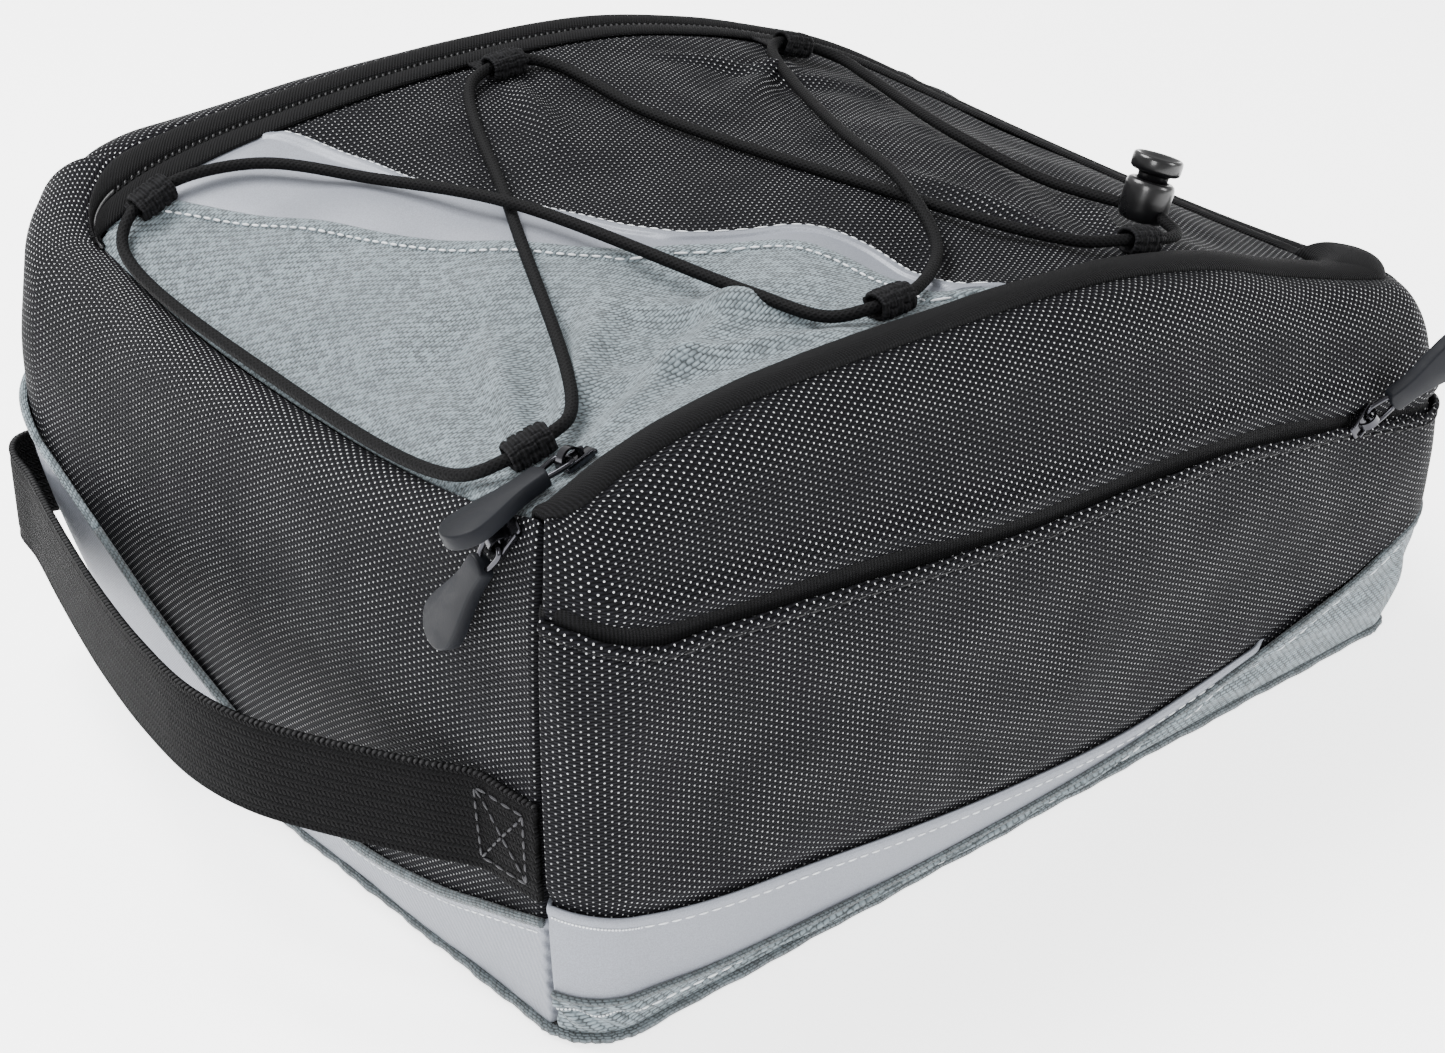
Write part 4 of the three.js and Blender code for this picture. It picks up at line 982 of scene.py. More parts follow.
class BAG_OT_trims(bpy.types.Operator):
    """Grey trim round the foot, reflective panels, piping and base"""
    bl_idname = "bag.trims"
    bl_label = "Trims"

    def execute(self, context):
        def skin(name, start, end, low, high, material, node, detail, columns=200, rows=26,
                 slot="grey_fabric"):
            """A panel on the walls between two heights"""
            def point(s, t):
                place = mix(start, end, s)
                return wall_point(place, mix(rise_at(place, low(place)), rise_at(place, high(place)), t))

            cloth_panel(name, columns, rows, point, material, detail, nodes=(node,), slot=slot,
                        thickness=0.0011)

        def grey_detail(tall, width):
            def detail(s, t, co):
                edge = min(s, 1 - s) * width
                down = (1 - t) * tall(s)
                hem = 0.0010 * smooth(0.0048, 0.0036, down) - 0.0005 * bump(down - 0.0042, 0.0006)
                ruck = 0.0009 * math.sin(2 * math.pi * (s * width / 0.031 + 1.6 * t)) * math.sin(math.pi * t)
                ruck += 0.0008 * soft(co, 0.014, 3.3) * math.sin(math.pi * t)
                return 0.0016 + hem + ruck - 0.0022 * bump(edge, 0.0022) - 0.0009 * bump(down, 0.0007)
            return detail

        def silver_detail(tall, width):
            def detail(s, t, co):
                edge = min(s, 1 - s) * width
                down = (1 - t) * tall(s)
                hem = 0.0005 * smooth(0.0042, 0.0034, down) - 0.0004 * bump(down - 0.0036, 0.0006)
                wave = 0.0007 * soft(co, 0.04, 5.5) * smooth(0, 0.01, edge)
                return 0.0015 + hem + wave - 0.0024 * bump(edge, 0.0025) - 0.0007 * bump(down, 0.0006)
            return detail

        foot_height = 0.0042
        tuck = 0.0016
        near_start, seam_end = NEAR_SEAM + 0.02, 60 + NEAR_SEAM - 0.02
        near_end = side_place(5, REFLECTIVE_END * LENGTH, 0)
        far_start = side_place(35, REFLECTIVE_END * LENGTH, 0)

        def foot(place):
            return foot_height

        def tall_grey(start, end):
            return lambda s: GREY_LINE(mix(start, end, s)) - foot_height

        def tall_strip(start, end):
            return lambda s: strip_top(mix(start, end, s)) - GREY_LINE(mix(start, end, s)) + tuck

        def strip_low(back, tip):
            """A reflective strip's lower edge: under the grey trim, and clear of it at the strip's tip"""
            return lambda place: GREY_LINE(place) - tuck + 0.0021 * smooth(back, tip, place)

        skin("foot_trim_near_cloth", near_start, 19.98, foot, GREY_LINE, grey_cloth(), "foot_trim_near",
             grey_detail(tall_grey(near_start, 19.98), 0.33))
        skin("foot_trim_far_cloth", 30.02, 44.98, foot, GREY_LINE, grey_cloth(), "foot_trim_far",
             grey_detail(tall_grey(30.02, 44.98), 0.3), columns=150)
        skin("foot_trim_plain_cloth", 20.02, 29.98, foot, lambda place: PLAIN_END_TRIM * HEIGHT, grey_cloth(),
             "foot_trim_plain_end", grey_detail(lambda s: 0.0437, 0.18), columns=110, rows=34)
        reflective = reflective_cloth("Reflective cloth")
        skin("reflective_near_cloth", near_start, near_end, strip_low(near_end - 1.5, near_end), strip_top,
             reflective, "reflective_near", silver_detail(tall_strip(near_start, near_end), 0.27),
             slot="reflective_fabric")
        skin("reflective_far_cloth", far_start, 44.98, strip_low(far_start + 1.5, far_start), strip_top,
             reflective, "reflective_far", silver_detail(tall_strip(far_start, 44.98), 0.23), columns=120,
             slot="reflective_fabric")
        skin("reflective_end_cloth", 45.02, seam_end, foot, end_line,
             reflective_cloth("Ribbed reflective cloth", 0.0021), "reflective_handle_end",
             silver_detail(lambda s: end_line(mix(45.02, seam_end, s)) - foot_height, 0.26), rows=40,
             slot="reflective_fabric")

        def edge_roll(name, start, end, line, lift, radius, material, count=150):
            path = []
            for k in range(count + 1):
                place = mix(start, end, k / count)
                at, normal, _ = wall_frame(place, line(place))
                path.append(at + normal * lift)
            tube(name, path, radius, 8, material, slot="grey_fabric")

        piping = woven_cloth("Piping cloth", scaled(colours().grey, 0.5), (0.0018, 0.0008))
        # Painted highlight: the corner part of the handle end's roll is the same piping made lighter.
        piping_painted_highlight = woven_cloth("Light piping cloth", scaled(colours().grey, 1.15), (0.0018, 0.0008))
        edge_roll("end_trim_roll_painted_highlight", 45.1, 51.0, end_line, 0.0016, 0.0014, piping_painted_highlight, 80)
        edge_roll("end_trim_roll", 51.0, 60 + NEAR_SEAM - 0.1, end_line, 0.0016, 0.0014, piping)
        edge_roll("near_trim_roll", NEAR_SEAM + 0.2, 19.7, GREY_LINE, 0.0021, 0.0011, piping)
        path = []
        for k in range(360):
            x, y, nx, ny, _ = ring_point(FOOT, 60 * k / 360)
            wave = 0.00025 * math.sin(k * 1.9) + 0.0002 * math.sin(k * 0.7)
            path.append(Vector((x + nx * (0.0022 + wave), y + ny * (0.0022 + wave), 0.0023)))
        tube("base_piping_cloth", path, 0.0016, 10, piping, nodes=("base_piping",), slot="grey_fabric",
             closed=True)
        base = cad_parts["base_panel"]
        base.data.materials.clear()
        base_cloth = plain_finish("Base cloth", scaled(colours().black, 0.8), 0.8, grain=1200, deep=0.0002)
        base.data.materials.append(base_cloth)
        return {"FINISHED"}


class BAG_OT_lid(bpy.types.Operator):
    """Grey, reflective and black panels of the lid"""
    bl_idname = "bag.lid"
    bl_label = "Lid"

    def execute(self, context):
        radii = LID_RADII

        def cut(y, near_radius, far_radius):
            near_depth = near_radius - (y - LID_SIDES["near"])
            far_depth = far_radius - (LID_SIDES["far"] - y)
            if near_depth > 0:
                return near_radius - math.sqrt(max(near_radius ** 2 - near_depth ** 2, 0))
            if far_depth > 0:
                return far_radius - math.sqrt(max(far_radius ** 2 - far_depth ** 2, 0))
            return 0.0

        def start(y):
            return LID_SIDES["left"] + cut(y, radii[0], radii[3])

        def end(y):
            first, last = LID_SIDES["near"] + radii[1], LID_SIDES["far"] - radii[2]
            shift = mix(LID_SHIFTS[1][0], LID_SHIFTS[2][0], clamp((y - first) / (last - first), 0, 1))
            return LID_SIDES["right"] + shift - cut(y, radii[1], radii[2])

        def seam(column):
            return lambda y: LENGTH * table_value(LID_SEAMS, column, y / WIDTH)

        grey, silver = seam(1), seam(2)

        def folds(x, y):
            """Fine tension folds that run from the near loops over the grey panel"""
            depth = 0.0
            for ax, ay, angle, reach, deep in (
                    (-0.148, -0.084, 62, 0.07, 0.0012), (-0.146, -0.088, 40, 0.085, 0.0013),
                    (-0.14, -0.095, 20, 0.10, 0.0012), (-0.04, -0.1, 128, 0.075, 0.0012),
                    (-0.05, -0.103, 152, 0.08, 0.0012), (-0.022, 0.09, 250, 0.06, 0.0009),
                    (0.097, 0.088, 215, 0.08, 0.0012), (0.06, -0.1, 60, 0.08, 0.0012),
                    (0.05, -0.1, 100, 0.08, 0.0010), (0.03, 0.09, 330, 0.09, 0.0009)):
                run = (math.cos(math.radians(angle)), math.sin(math.radians(angle)))
                far = (x - ax) * run[0] + (y - ay) * run[1]
                side = -(x - ax) * run[1] + (y - ay) * run[0]
                if 0 < far < reach:
                    wide = 0.0035 + 0.05 * far
                    depth += 5.2 * deep * math.sin(math.pi * far / reach) * (bump(side, wide)
                                                                             - 0.5 * bump(side, 2 * wide))
            return depth

        def panel(name, x0, x1, columns, material, node, extra, slot):
            def point(s, t):
                y = mix(LID_SIDES["near"] - 0.001, LID_SIDES["far"] + 0.001, t)
                yc = clamp(y, LID_SIDES["near"], LID_SIDES["far"])
                x = mix(x0(yc), x1(yc), s)
                return Vector((x, y, lid_height(x, y)))

            def detail(s, t, co):
                rim = min(co.y - LID_SIDES["near"], LID_SIDES["far"] - co.y, co.x - LID_SIDES["left"],
                          end(co.y) - co.x)
                calm = smooth(0, 0.015, rim)
                wave = 0.0023 * soft(co, 0.05, 9.1) + 0.0011 * soft(co, 0.022, 6.4)
                return (wave + folds(co.x, co.y)) * calm - 0.0010 * bump(rim, 0.0018) + extra(s, t, co)

            return cloth_panel(name, columns, 150, point, material, detail, flat_uv=True, nodes=(node,),
                               slot=slot, tight=(0.3, 0.3))

        def slope(line, y):
            rise = (line(y + 0.001) - line(y - 0.001)) / 0.002
            return 1 / math.hypot(1, rise)

        def grey_extra(s, t, co):
            away = (grey(co.y) - co.x) * slope(grey, co.y)
            return 0.0011 * smooth(0.0056, 0.0044, away) - 0.0004 * bump(away - 0.0047, 0.0006) \
                - 0.0007 * bump(away, 0.0006)

        def silver_extra(s, t, co):
            away = (silver(co.y) - co.x) * slope(silver, co.y)
            return 0.0004 + 0.0009 * smooth(0.0042, 0.0032, away) - 0.0007 * bump(away, 0.0006)

        grey_piece = panel("lid_grey_cloth", start, grey, 120, grey_cloth(), "lid_panel_grey", grey_extra,
                           "grey_fabric")
        silver_piece = panel("lid_reflective_cloth", lambda y: grey(y) - 0.001, silver, 40,
                             reflective_cloth("Reflective cloth"), "lid_reflective", silver_extra,
                             "reflective_fabric")
        panel("lid_black_cloth", lambda y: silver(y) - 0.001, end, 190, dotted_cloth("Dotted cloth"),
              "lid_panel_black", lambda s, t, co: 0.0, "black_fabric")

        def seam_track(line, inset, y0, y1, lift):
            def track(t):
                y = mix(y0, y1, t)
                x = line(y) - inset / slope(line, y)
                at, normal = lid_frame(x, y)
                return at + normal * lift, normal
            return track

        def seam_length(line, y0, y1):
            across = [mix(y0, y1, k / 60) for k in range(61)]
            return track_length([Vector((line(y), y, 0)) for y in across])

        y0, y1 = LID_SIDES["near"] + 0.004, LID_SIDES["far"] - 0.003
        stitches("lid_grey_stitches", laid_on(grey_piece, seam_track(grey, 0.0047, y0, y1, 0.0009)),
                 seam_length(grey, y0, y1), thread_finish())
        stitches("lid_silver_stitches", laid_on(silver_piece, seam_track(silver, 0.0012, y0, y1, 0.0012)),
                 seam_length(silver, y0, y1), thread_finish(), thread=0.0003)
        return {"FINISHED"}


class BAG_OT_rim(bpy.types.Operator):
    """Zip tape with its coil on the far and plain sides, rolled flap on the near side"""
    bl_idname = "bag.rim"
    bl_label = "Zip and flap"

    def execute(self, context):
        start, end = 20.05, 50.0

        def tape(s, t):
            place = mix(start, end, s)
            return rim_point(place, t * 1.02 - 0.01)

        def tape_detail(s, t, co):
            closing = smooth(1.0, 0.975, s) * smooth(0.0, 0.02, s)
            if t < 0.47:
                return 0.0021 * closing * math.sqrt(max(1 - ((t - 0.235) / 0.235) ** 2, 0)) - 0.0002
            if t < 0.57:
                return -0.0004
            return 0.0016 * closing * math.sqrt(max(1 - ((t - 0.785) / 0.215) ** 2, 0)) - 0.0002

        cloth_panel("lid_zip_tape_cloth", 320, 44, tape, ribbed_tape("Zip tape", 0.0011), tape_detail,
                    nodes=("lid_zip_tape",), slot="webbing", tight=(0.0, 0.0), thickness=0.0012)

        bm = bmesh.new()
        tooth_pitch = 0.00155
        track = [rim_point(mix(start, end, k / 200), 0.52) for k in range(201)]
        count = int(track_length(track) / tooth_pitch)
        for k in range(count):
            place = mix(start, end, (k + 0.5) / count)
            a, b = rim_point(place, 0.5), rim_point(place, 0.545)
            run = rim_point(place + 0.05, 0.52) - rim_point(place - 0.05, 0.52)
            across = (b - a).normalized()
            normal = run.normalized().cross(across)
            if normal.z < 0:
                normal = -normal
            scale = Matrix.Diagonal((0.0011, 0.00052, 0.0006, 1))
            at = (a + b) / 2 + normal * 0.0002
            bmesh.ops.create_uvsphere(bm, u_segments=8, v_segments=6, radius=1,
                                      matrix=frame_matrix(at, across, normal) @ scale)
        coil = plain_finish("Zip coil", scaled(colours().webbing, 1.8), 0.4, grain=1500)
        finish_piece("lid_zip_coil", bm, coil, slot="webbing")

        def painted_highlight_crown(place):
            return mix(0.0042, 0.0072, smooth(14.0, 18.5, place))

        def roll(s, t):
            place = mix(1.0, 20.0, s)
            return rim_point(place, mix(-0.10, 1.06, t))

        def roll_detail(s, t, co):
            place = mix(1.0, 20.0, s)
            end_gap = (20.0 - place) * 0.0125
            cap = math.sqrt(max(1 - (1 - min(end_gap / 0.009, 1)) ** 2, 0))
            begin = math.sqrt(max(1 - (1 - min((place - 1.0) / 1.4, 1)) ** 2, 0))
            profile = max(1 - abs(2 * t - 1) ** 2.6, 0) ** 0.5
            wobble = 1 + 0.07 * soft(co, 0.018, 2.7)
            return painted_highlight_crown(place) * profile * cap * begin * wobble - 0.0004

        binding = ribbed_tape("Flap binding", 0.0010, tone=1.15)
        cloth_panel("zip_flap_roll", 330, 26, roll, binding, roll_detail, nodes=("zip_flap_near",),
                    slot="webbing", tight=(0.0, 0.35), thickness=0.0010)
        return {"FINISHED"}


class BAG_OT_cord(bpy.types.Operator):
    """Elastic cord laced through its six woven loops"""
    bl_idname = "bag.cord"
    bl_label = "Cord"

    def execute(self, context):
        path, length = curve_points(CORD_ROUTE, 560)
        thick = sizes().cord_diameter
        cord = tube("elastic_cord", path, thick / 2, 14, braided_cord("Braided cord"), nodes=("bungee_cord",),
                    slot="cord")
        [tuple(p) for p in path[::4]]
        return {"FINISHED"}


class BAG_OT_loops(bpy.types.Operator):
    """Woven sleeves that hold the cord, each with a tail sewn to the lid"""
    bl_idname = "bag.loops"
    bl_label = "Cord loops"

    def execute(self, context):
        material = ribbed_tape("Loop webbing", 0.0012, tone=1.5, weave=0.0012)
        for name, row, tail in CORD_LOOPS:
            a, b = Vector(CORD_ROUTE[row]), Vector(CORD_ROUTE[row + 1])
            middle, run = (a + b) / 2, (b - a).normalized()
            _, up = lid_frame(middle.x, middle.y)
            side = up.cross(run).normalized()
            up = run.cross(side)
            columns, around, half = 46, 76, 0.0064
            bm, spots = new_grid(columns, around)
            lay_uv(bm, lambda v: (2 * half * spots[v][0] / columns, 0.026 * spots[v][1] / around))
            for v, (i, j) in spots.items():
                s, angle = i / columns, 2 * math.pi * j / around
                c, n = math.cos(angle), math.sin(angle)
                wide = 0.0043 * abs(c) ** 0.75 * (1 if c > 0 else -1)
                high = 0.0037 * abs(n) ** 0.75 * (1 if n > 0 else -1)
                strand, turn = math.sin(5 * math.pi * s), math.sin(5 * angle)
                weave = 0.87 + 0.25 * (abs(turn) if strand * turn > 0 else abs(strand)) ** 0.6
                ends = 1 - 0.10 * (abs(2 * s - 1) ** 4)
                v.co = middle + run * (s - 0.5) * 2 * half + (side * wide + up * high) * weave * ends
            close_up(bm)
            sleeve = finish_piece(name + "_sleeve", bm, material, name, slot="webbing")
            wall = sleeve.modifiers.new("Wall", "SOLIDIFY")
            wall.thickness = 0.0011
            wall.offset = -1
            if tail:
                self.tail(name, middle, tail, material)
        return {"FINISHED"}

    def tail(self, name, middle, reach, material):
        wide, start, sign = 0.0112, 0.0036, 1 if reach > 0 else -1

        def tab(s, t):
            x = middle.x + (s - 0.5) * wide
            y = middle.y + sign * (start + t * abs(reach))
            return lid_frame(x, y)[0]

        def weave(s, t, co):
            squares = math.sin(9 * math.pi * s) * math.sin(9 * math.pi * t)
            return 0.0010 + 0.0006 * (1 - t) + 0.0002 * squares

        cloth_panel(name + "_tail", 20, 14, tab, material, weave, slot="webbing", tight=(0, 0),
                    thickness=0.0009)


def lock_frame():
    x, y = LOCK_BASE
    z = lid_height(x, y) + 0.00035 + 0.007 * math.sin(LOCK_LEAN)
    return Vector((x, y, z)), Vector((math.sin(LOCK_LEAN), 0, math.cos(LOCK_LEAN)))


class BAG_OT_lock(bpy.types.Operator):
    """Cord lock: barrel and sprung button"""
    bl_idname = "bag.lock"
    bl_label = "Cord lock"

    def execute(self, context):
        base, axis = lock_frame()
        black = plain_finish("Lock plastic", (0.0022, 0.0022, 0.0026), 0.3, coat=0.3, grain=500)
        for name, profile, node, body in (("cord_lock_barrel_turned", LOCK_BARREL, "cord_lock_barrel", BAG),
                                          ("cord_lock_button_turned", LOCK_BUTTON, "cord_lock_button",
                                           "button_body")):
            lathe(name, [(r * 0.001, h * 0.001) for r, h in profile], base, axis, black, node, body)
        return {"FINISHED"}


class BAG_OT_pulls(bpy.types.Operator):
    """Zip sliders, their wire bails and rubber pulls"""
    bl_idname = "bag.pulls"
    bl_label = "Zip pulls"

    def execute(self, context):
        metal = plain_finish("Dark metal", (0.035, 0.035, 0.04), 0.17, metal=0.95, grain=900, deep=0.00002)
        rubber = plain_finish("Pull rubber", colours().rubber, 0.55, grain=1400, deep=0.00006, shine=0.12)
        for prefix, (hinge, forward, normal, raised) in ZIP_PULLS.items():
            hinge, forward, normal = Vector(hinge), Vector(forward).normalized(), Vector(normal).normalized()
            place = frame_matrix(hinge, forward, normal)
            self.slider(prefix, place, metal)
            swing = place @ Matrix.Rotation(-math.radians(raised), 4, "Y")
            body = prefix + "_pull_body"
            self.bail(prefix, swing, metal, body)
            self.pull(prefix, swing, rubber, body)
        return {"FINISHED"}

    def slider(self, prefix, place, material):
        bm = bmesh.new()
        plate = bmesh.ops.create_cube(bm, size=1)["verts"]
        for v in plate:
            wide = 0.0030 if v.co.x > 0 else 0.0024
            v.co = Vector((v.co.x * 0.0105 - 0.0025, v.co.y * 2 * wide, v.co.z * 0.0015 - 0.0020))
        bmesh.ops.bevel(bm, geom=bm.edges[:], offset=0.00055, segments=3, affect="EDGES", profile=0.5,
                        material=-1)
        for side in (-1, 1):
            flange = bmesh.ops.create_cube(bm, size=1)["verts"]
            for v in flange:
                inward = 0.0006 if v.co.x < 0 else 0.0
                v.co = Vector((v.co.x * 0.0088 - 0.0020, side * (0.0030 - inward) + v.co.y * 0.0011,
                               v.co.z * 0.0022 - 0.0016))
            around = {e for v in flange for e in v.link_edges}
            bmesh.ops.bevel(bm, geom=list(around), offset=0.0004, segments=3, affect="EDGES", profile=0.5,
                            material=-1)
        arch = []
        for k in range(15):
            angle = math.pi * k / 14
            arch.append(Vector((-0.0007 - 0.0031 * math.cos(angle), 0, -0.0016 + 0.0036 * math.sin(angle))))
        strap = [bm.verts.new((p.x, -0.0014, p.z)) for p in arch]
        edges = [bm.edges.new(pair) for pair in zip(strap, strap[1:])]
        swept = bmesh.ops.extrude_edge_only(bm, edges=edges)["geom"]
        bmesh.ops.translate(bm, vec=(0, 0.0028, 0), verts=corners_of(swept))
        sheet = [g for g in swept if isinstance(g, bmesh.types.BMFace)]
        bmesh.ops.recalc_face_normals(bm, faces=sheet)
        bmesh.ops.solidify(bm, geom=sheet, thickness=-0.0007)
        bmesh.ops.transform(bm, matrix=place, verts=bm.verts)
        bmesh.ops.recalc_face_normals(bm, faces=bm.faces)
        piece = finish_piece(prefix + "_slider_cast", bm, material, prefix + "_slider", slot="dark_metal")
        piece.data.set_sharp_from_angle(angle=math.radians(50))

    def bail(self, prefix, place, material, body):
        half, long = 0.0040, 0.0088
        path = []
        for k in range(64):
            angle = 2 * math.pi * k / 64
            c, s = math.cos(angle), math.sin(angle)
            x = long / 2 + (abs(c) ** 0.55) * (1 if c > 0 else -1) * long / 2
            taper = mix(1.0, 0.62, x / long)
            y = (abs(s) ** 0.55) * (1 if s > 0 else -1) * half * taper
            path.append(place @ Vector((x, y, 0)))
        normal = place.to_3x3() @ Vector((0, 0, 1))
        tube(prefix + "_bail_wire", path, 0.00078, 12, material, nodes=(prefix + "_bail",), slot="dark_metal",
             body=body, closed=True, up=normal)

    def pull(self, prefix, place, material, body):
        bm = bmesh.new()
        made = bmesh.ops.create_circle(bm, cap_ends=True, segments=64, radius=1)
        long, round_end, neck, thick = 0.032, 0.0075, 0.0038, 0.0044
        for v in made["verts"]:
            angle = math.atan2(v.co.y, v.co.x)
            c, s = math.cos(angle), math.sin(angle)
            along = long / 2 + long / 2 * (abs(c) ** 0.72) * (1 if c > 0 else -1)
            half = mix(neck, round_end, smooth(0.18, 0.82, along / long))
            end = clamp((long - along) / round_end, 0, 1)
            circle = math.sqrt(max(1 - (1 - end) ** 2, 0))
            start = clamp(along / 0.0016, 0, 1)
            blunt = math.sqrt(max(1 - (1 - start) ** 2, 0))
            side = 1 if s > 0 else -1
            v.co = Vector((0.00735 + along, half * circle * blunt * side, -thick / 2))
        bmesh.ops.remove_doubles(bm, verts=bm.verts, dist=1e-5)
        face = bm.faces[:]
        top = bmesh.ops.extrude_face_region(bm, geom=face)["geom"]
        bmesh.ops.translate(bm, vec=(0, 0, thick), verts=corners_of(top))
        bmesh.ops.recalc_face_normals(bm, faces=bm.faces)
        rims = [e for e in bm.edges
                if len(e.link_faces) == 2 and any(len(f.verts) > 10 for f in e.link_faces)]
        bmesh.ops.bevel(bm, geom=rims, offset=0.0006, segments=2, affect="EDGES", profile=0.5, material=-1)
        bmesh.ops.transform(bm, matrix=place, verts=bm.verts)
        piece = finish_piece(prefix + "_pull_rubber", bm, material, prefix + "_pull", slot="rubber",
                             body=body)
        piece.data.set_sharp_from_angle(angle=math.radians(55))


class BAG_OT_handle(bpy.types.Operator):
    """Webbing handle, sewn flat at one end and folded back at the other"""
    bl_idname = "bag.handle"
    bl_label = "Handle"

    def execute(self, context):
        low = HANDLE_HEIGHT - WEBBING_WIDTH / 2
        rows = 24
        columns = 230

        def sewn_place(across):
            return side_place(50, across * WIDTH, 1)

        def line(z):
            def on_wall(place, lift):
                at = off_wall(place, rise_at(place, z), 0.00135 + lift)
                at.z = z
                return at
            points = [on_wall(60 + NEAR_SEAM - 0.08, 0)] + [on_wall(sewn_place(a), 0) for a in HANDLE_SEWN]
            points += [Vector((-LENGTH / 2 - out * WIDTH, a * WIDTH, z)) for a, out in HANDLE_ROUTE]
            points += [on_wall(45 + step, 0.0022) for step in HANDLE_FOLDED]
            return curve_points(points, columns)[0]

        lines = [line(mix(low, low + WEBBING_WIDTH, j / rows)) for j in range(rows + 1)]

        def point(s, t):
            return lines[round(t * rows)][round(s * columns)].copy()

        def detail(s, t, co):
            edge = min(t, 1 - t) * WEBBING_WIDTH
            return -0.0010 + 0.0003 * bump(edge - 0.0018, 0.0008)

        strap = cloth_panel("handle_webbing", columns, rows, point, webbing_twill("Webbing"), detail,
                            slot="webbing", nodes=("handle_strap",), tight=(0, 0), thickness=0.0020, foot=0.0)
        strap.modifiers["Cloth"].offset = 1

        bm = bmesh.new()
        for j, edge in ((0, -1), (rows, 1)):
            path = lines[j]
            count = int(track_length(path) / 0.0017)
            for k in range(count):
                spot = (k + 0.5) / count * columns
                i = int(spot)
                at = path[i].lerp(path[min(i + 1, columns)], spot - i)
                run = path[min(i + 1, columns)] - path[max(i - 1, 0)]
                up = Vector((0, 0, 1))
                scale = Matrix.Diagonal((0.00075, 0.0011, 0.00055, 1))
                bmesh.ops.create_uvsphere(bm, u_segments=8, v_segments=5, radius=1,
                                          matrix=frame_matrix(at - up * edge * 0.0001, run, up) @ scale)
        selvedge = plain_finish("Selvedge thread", scaled(colours().webbing, 1.5), 0.7, grain=2200)
        finish_piece("handle_webbing_selvedge", bm, selvedge, slot="webbing")

        def spot(across, z):
            place = sewn_place(across)
            at, normal, _ = wall_frame(place, z)
            return at + normal * 0.0026, normal

        strap_thread = plain_finish("Strap thread", scaled(colours().webbing, 6.0), 0.6, grain=2500)
        corners = [(-0.375, low + 0.004), (-0.44, low + 0.004), (-0.44, low + 0.026), (-0.375, low + 0.026)]
        for k, (a, b) in enumerate(((0, 1), (1, 2), (2, 3), (3, 0), (0, 2), (1, 3))):
            (a0, z0), (a1, z1) = corners[a], corners[b]
            span = math.hypot((a1 - a0) * WIDTH, z1 - z0)

            def track(t, a0=a0, a1=a1, z0=z0, z1=z1):
                return spot(mix(a0, a1, t), mix(z0, z1, t))

            stitches("handle_box_stitch_%d" % (k + 1), laid_on(strap, track), span, strap_thread,
                     thread=0.00045)
        return {"FINISHED"}


class BAG_OT_seam_stitches(bpy.types.Operator):
    """Light stitching along the hems of the pocket and the trims"""
    bl_idname = "bag.seam_stitches"
    bl_label = "Seam stitches"

    def execute(self, context):
        def wall_track(start, end, line, drop, lift):
            def track(t):
                place = mix(start, end, t)
                at, normal, _ = wall_frame(place, line(place) - drop)
                return at + normal * lift, normal
            return track

        def plain_end(place):
            return PLAIN_END_TRIM * HEIGHT

        near_end = side_place(5, REFLECTIVE_END * LENGTH, 0) - 0.3
        seam_end = 60 + NEAR_SEAM - 0.4
        dark, light = dark_thread(), thread_finish()
        for name, cloth, start, end, line, drop, thread in (
                ("pocket_hem_stitches", "pocket_cloth", 1.1, 19.6, POCKET_LINE, 0.0034, dark),
                ("near_silver_stitches", "reflective_near_cloth", 1.1, near_end, strip_top, 0.0036, light),
                ("near_grey_stitches", "foot_trim_near_cloth", 1.1, 19.7, GREY_LINE, 0.0042, light),
                ("end_silver_stitches", "reflective_end_cloth", 45.4, seam_end, end_line, 0.0036, light),
                ("plain_end_stitches", "foot_trim_plain_cloth", 20.3, 29.7, plain_end, 0.0042, light),
                ("far_grey_stitches", "foot_trim_far_cloth", 30.3, 44.7, GREY_LINE, 0.0042, light)):
            track = laid_on(bpy.data.objects[cloth], wall_track(start, end, line, drop, 0.002))
            stitches(name, track, track_length([track(k / 80)[0] for k in range(81)]), thread)
        return {"FINISHED"}


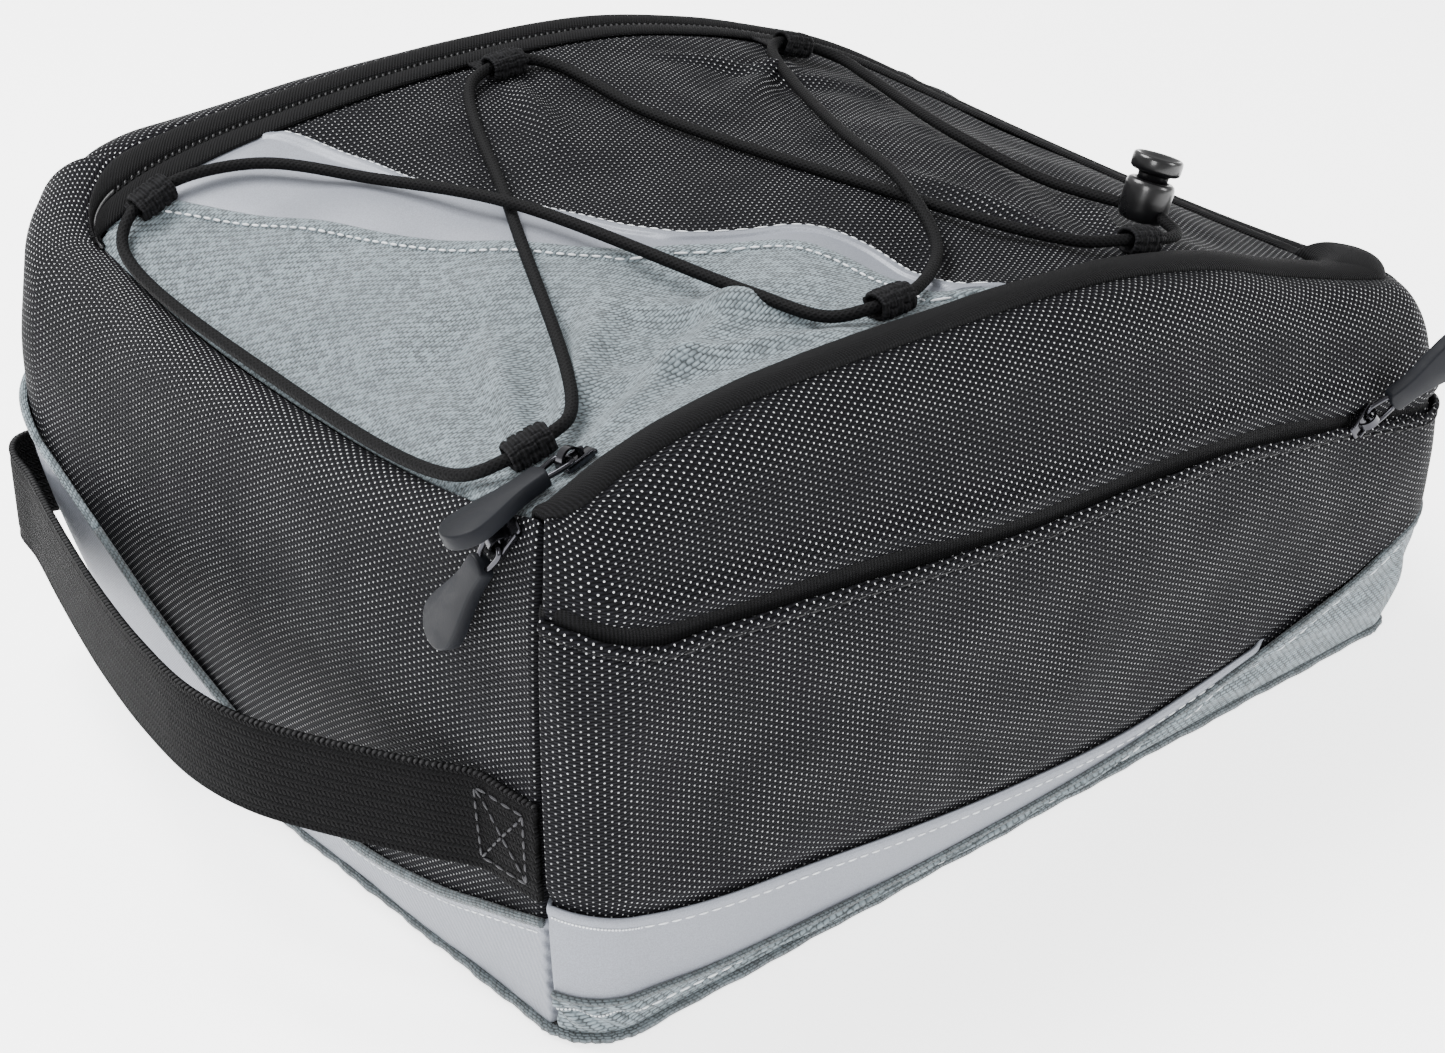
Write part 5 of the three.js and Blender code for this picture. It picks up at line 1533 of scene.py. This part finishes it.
class BAG_OT_stage(bpy.types.Operator):
    """Pale floor, soft lights and the camera"""
    bl_idname = "bag.stage"
    bl_label = "Stage"

    def execute(self, context):
        scene = bpy.context.scene
        bm = bmesh.new()
        bmesh.ops.create_grid(bm, x_segments=1, y_segments=1, size=6.0)
        mesh = bpy.data.meshes.new("floor")
        bm.to_mesh(mesh)
        bm.free()
        floor = bpy.data.objects.new("floor", mesh)
        scene.collection.objects.link(floor)
        mesh.materials.append(studio_floor("Studio floor"))

        world = bpy.data.worlds.new("Studio")
        world.use_nodes = True
        world.node_tree.nodes["Background"].inputs["Color"].default_value = (1, 1, 1, 1)
        world.node_tree.nodes["Background"].inputs["Strength"].default_value = 0.95
        scene.world = world

        def area(name, at, target, size, power):
            light = bpy.data.lights.new(name, "AREA")
            light.shape = "RECTANGLE"
            light.size, light.size_y = size
            light.energy = power
            lamp = bpy.data.objects.new(name, light)
            lamp.location = at
            lamp.rotation_euler = (Vector(target) - Vector(at)).to_track_quat("-Z", "Y").to_euler()
            scene.collection.objects.link(lamp)

        area("overhead", (-0.35, 0.65, 1.35), (0, 0, 0.1), (0.9, 0.7), 52)
        area("front_left", (-1.3, -0.7, 0.9), (0, 0, 0.08), (0.6, 0.6), 20)
        area("right", (0.9, -1.2, 0.8), (0, 0, 0.08), (0.6, 0.5), 17)

        camera = bpy.data.cameras.new("camera")
        camera.sensor_width = 36
        camera.lens = 2968 / 1445 * 36
        camera.clip_start = 0.05
        camera.clip_end = 20
        eye = bpy.data.objects.new("camera", camera)
        eye.location = (-0.5433, -0.6175, 0.5184)
        eye.rotation_euler = Vector((0.566, 0.656, -0.498)).to_track_quat("-Z", "Y").to_euler()
        scene.collection.objects.link(eye)
        scene.camera = eye
        return {"FINISHED"}


class BAG_PT_panel(bpy.types.Panel):
    """The bag's sizes, colours and pieces"""
    bl_idname = "BAG_PT_panel"
    bl_label = "Trunk bag"
    bl_space_type = "VIEW_3D"
    bl_region_type = "UI"
    bl_category = "Trunk bag"

    def draw(self, context):
        scene = context.scene
        for group in (scene.bag_sizes, scene.bag_colours):
            box = self.layout.box()
            for name in group.__annotations__:
                box.prop(group, name)
        for operator in STEPS:
            self.layout.operator(operator.bl_idname)


STEPS = (BAG_OT_stage, BAG_OT_walls, BAG_OT_trims, BAG_OT_lid, BAG_OT_rim, BAG_OT_lock, BAG_OT_cord,
         BAG_OT_loops, BAG_OT_pulls, BAG_OT_handle, BAG_OT_seam_stitches)
CLASSES = (BagSizes, BagColours, *STEPS, BAG_PT_panel)


def register():
    for item in CLASSES:
        bpy.utils.register_class(item)
    bpy.types.Scene.bag_sizes = bpy.props.PointerProperty(type=BagSizes)
    bpy.types.Scene.bag_colours = bpy.props.PointerProperty(type=BagColours)


def unregister():
    del bpy.types.Scene.bag_colours
    del bpy.types.Scene.bag_sizes
    for item in reversed(CLASSES):
        bpy.utils.unregister_class(item)


def main():
    register()
    bpy.ops.bag.stage()
    bpy.ops.bag.walls()
    bpy.ops.bag.trims()
    bpy.ops.bag.lid()
    bpy.ops.bag.rim()
    bpy.ops.bag.lock()
    bpy.ops.bag.cord()
    bpy.ops.bag.loops()
    bpy.ops.bag.pulls()
    bpy.ops.bag.handle()
    bpy.ops.bag.seam_stitches()


if __name__ == "__main__":
    main()
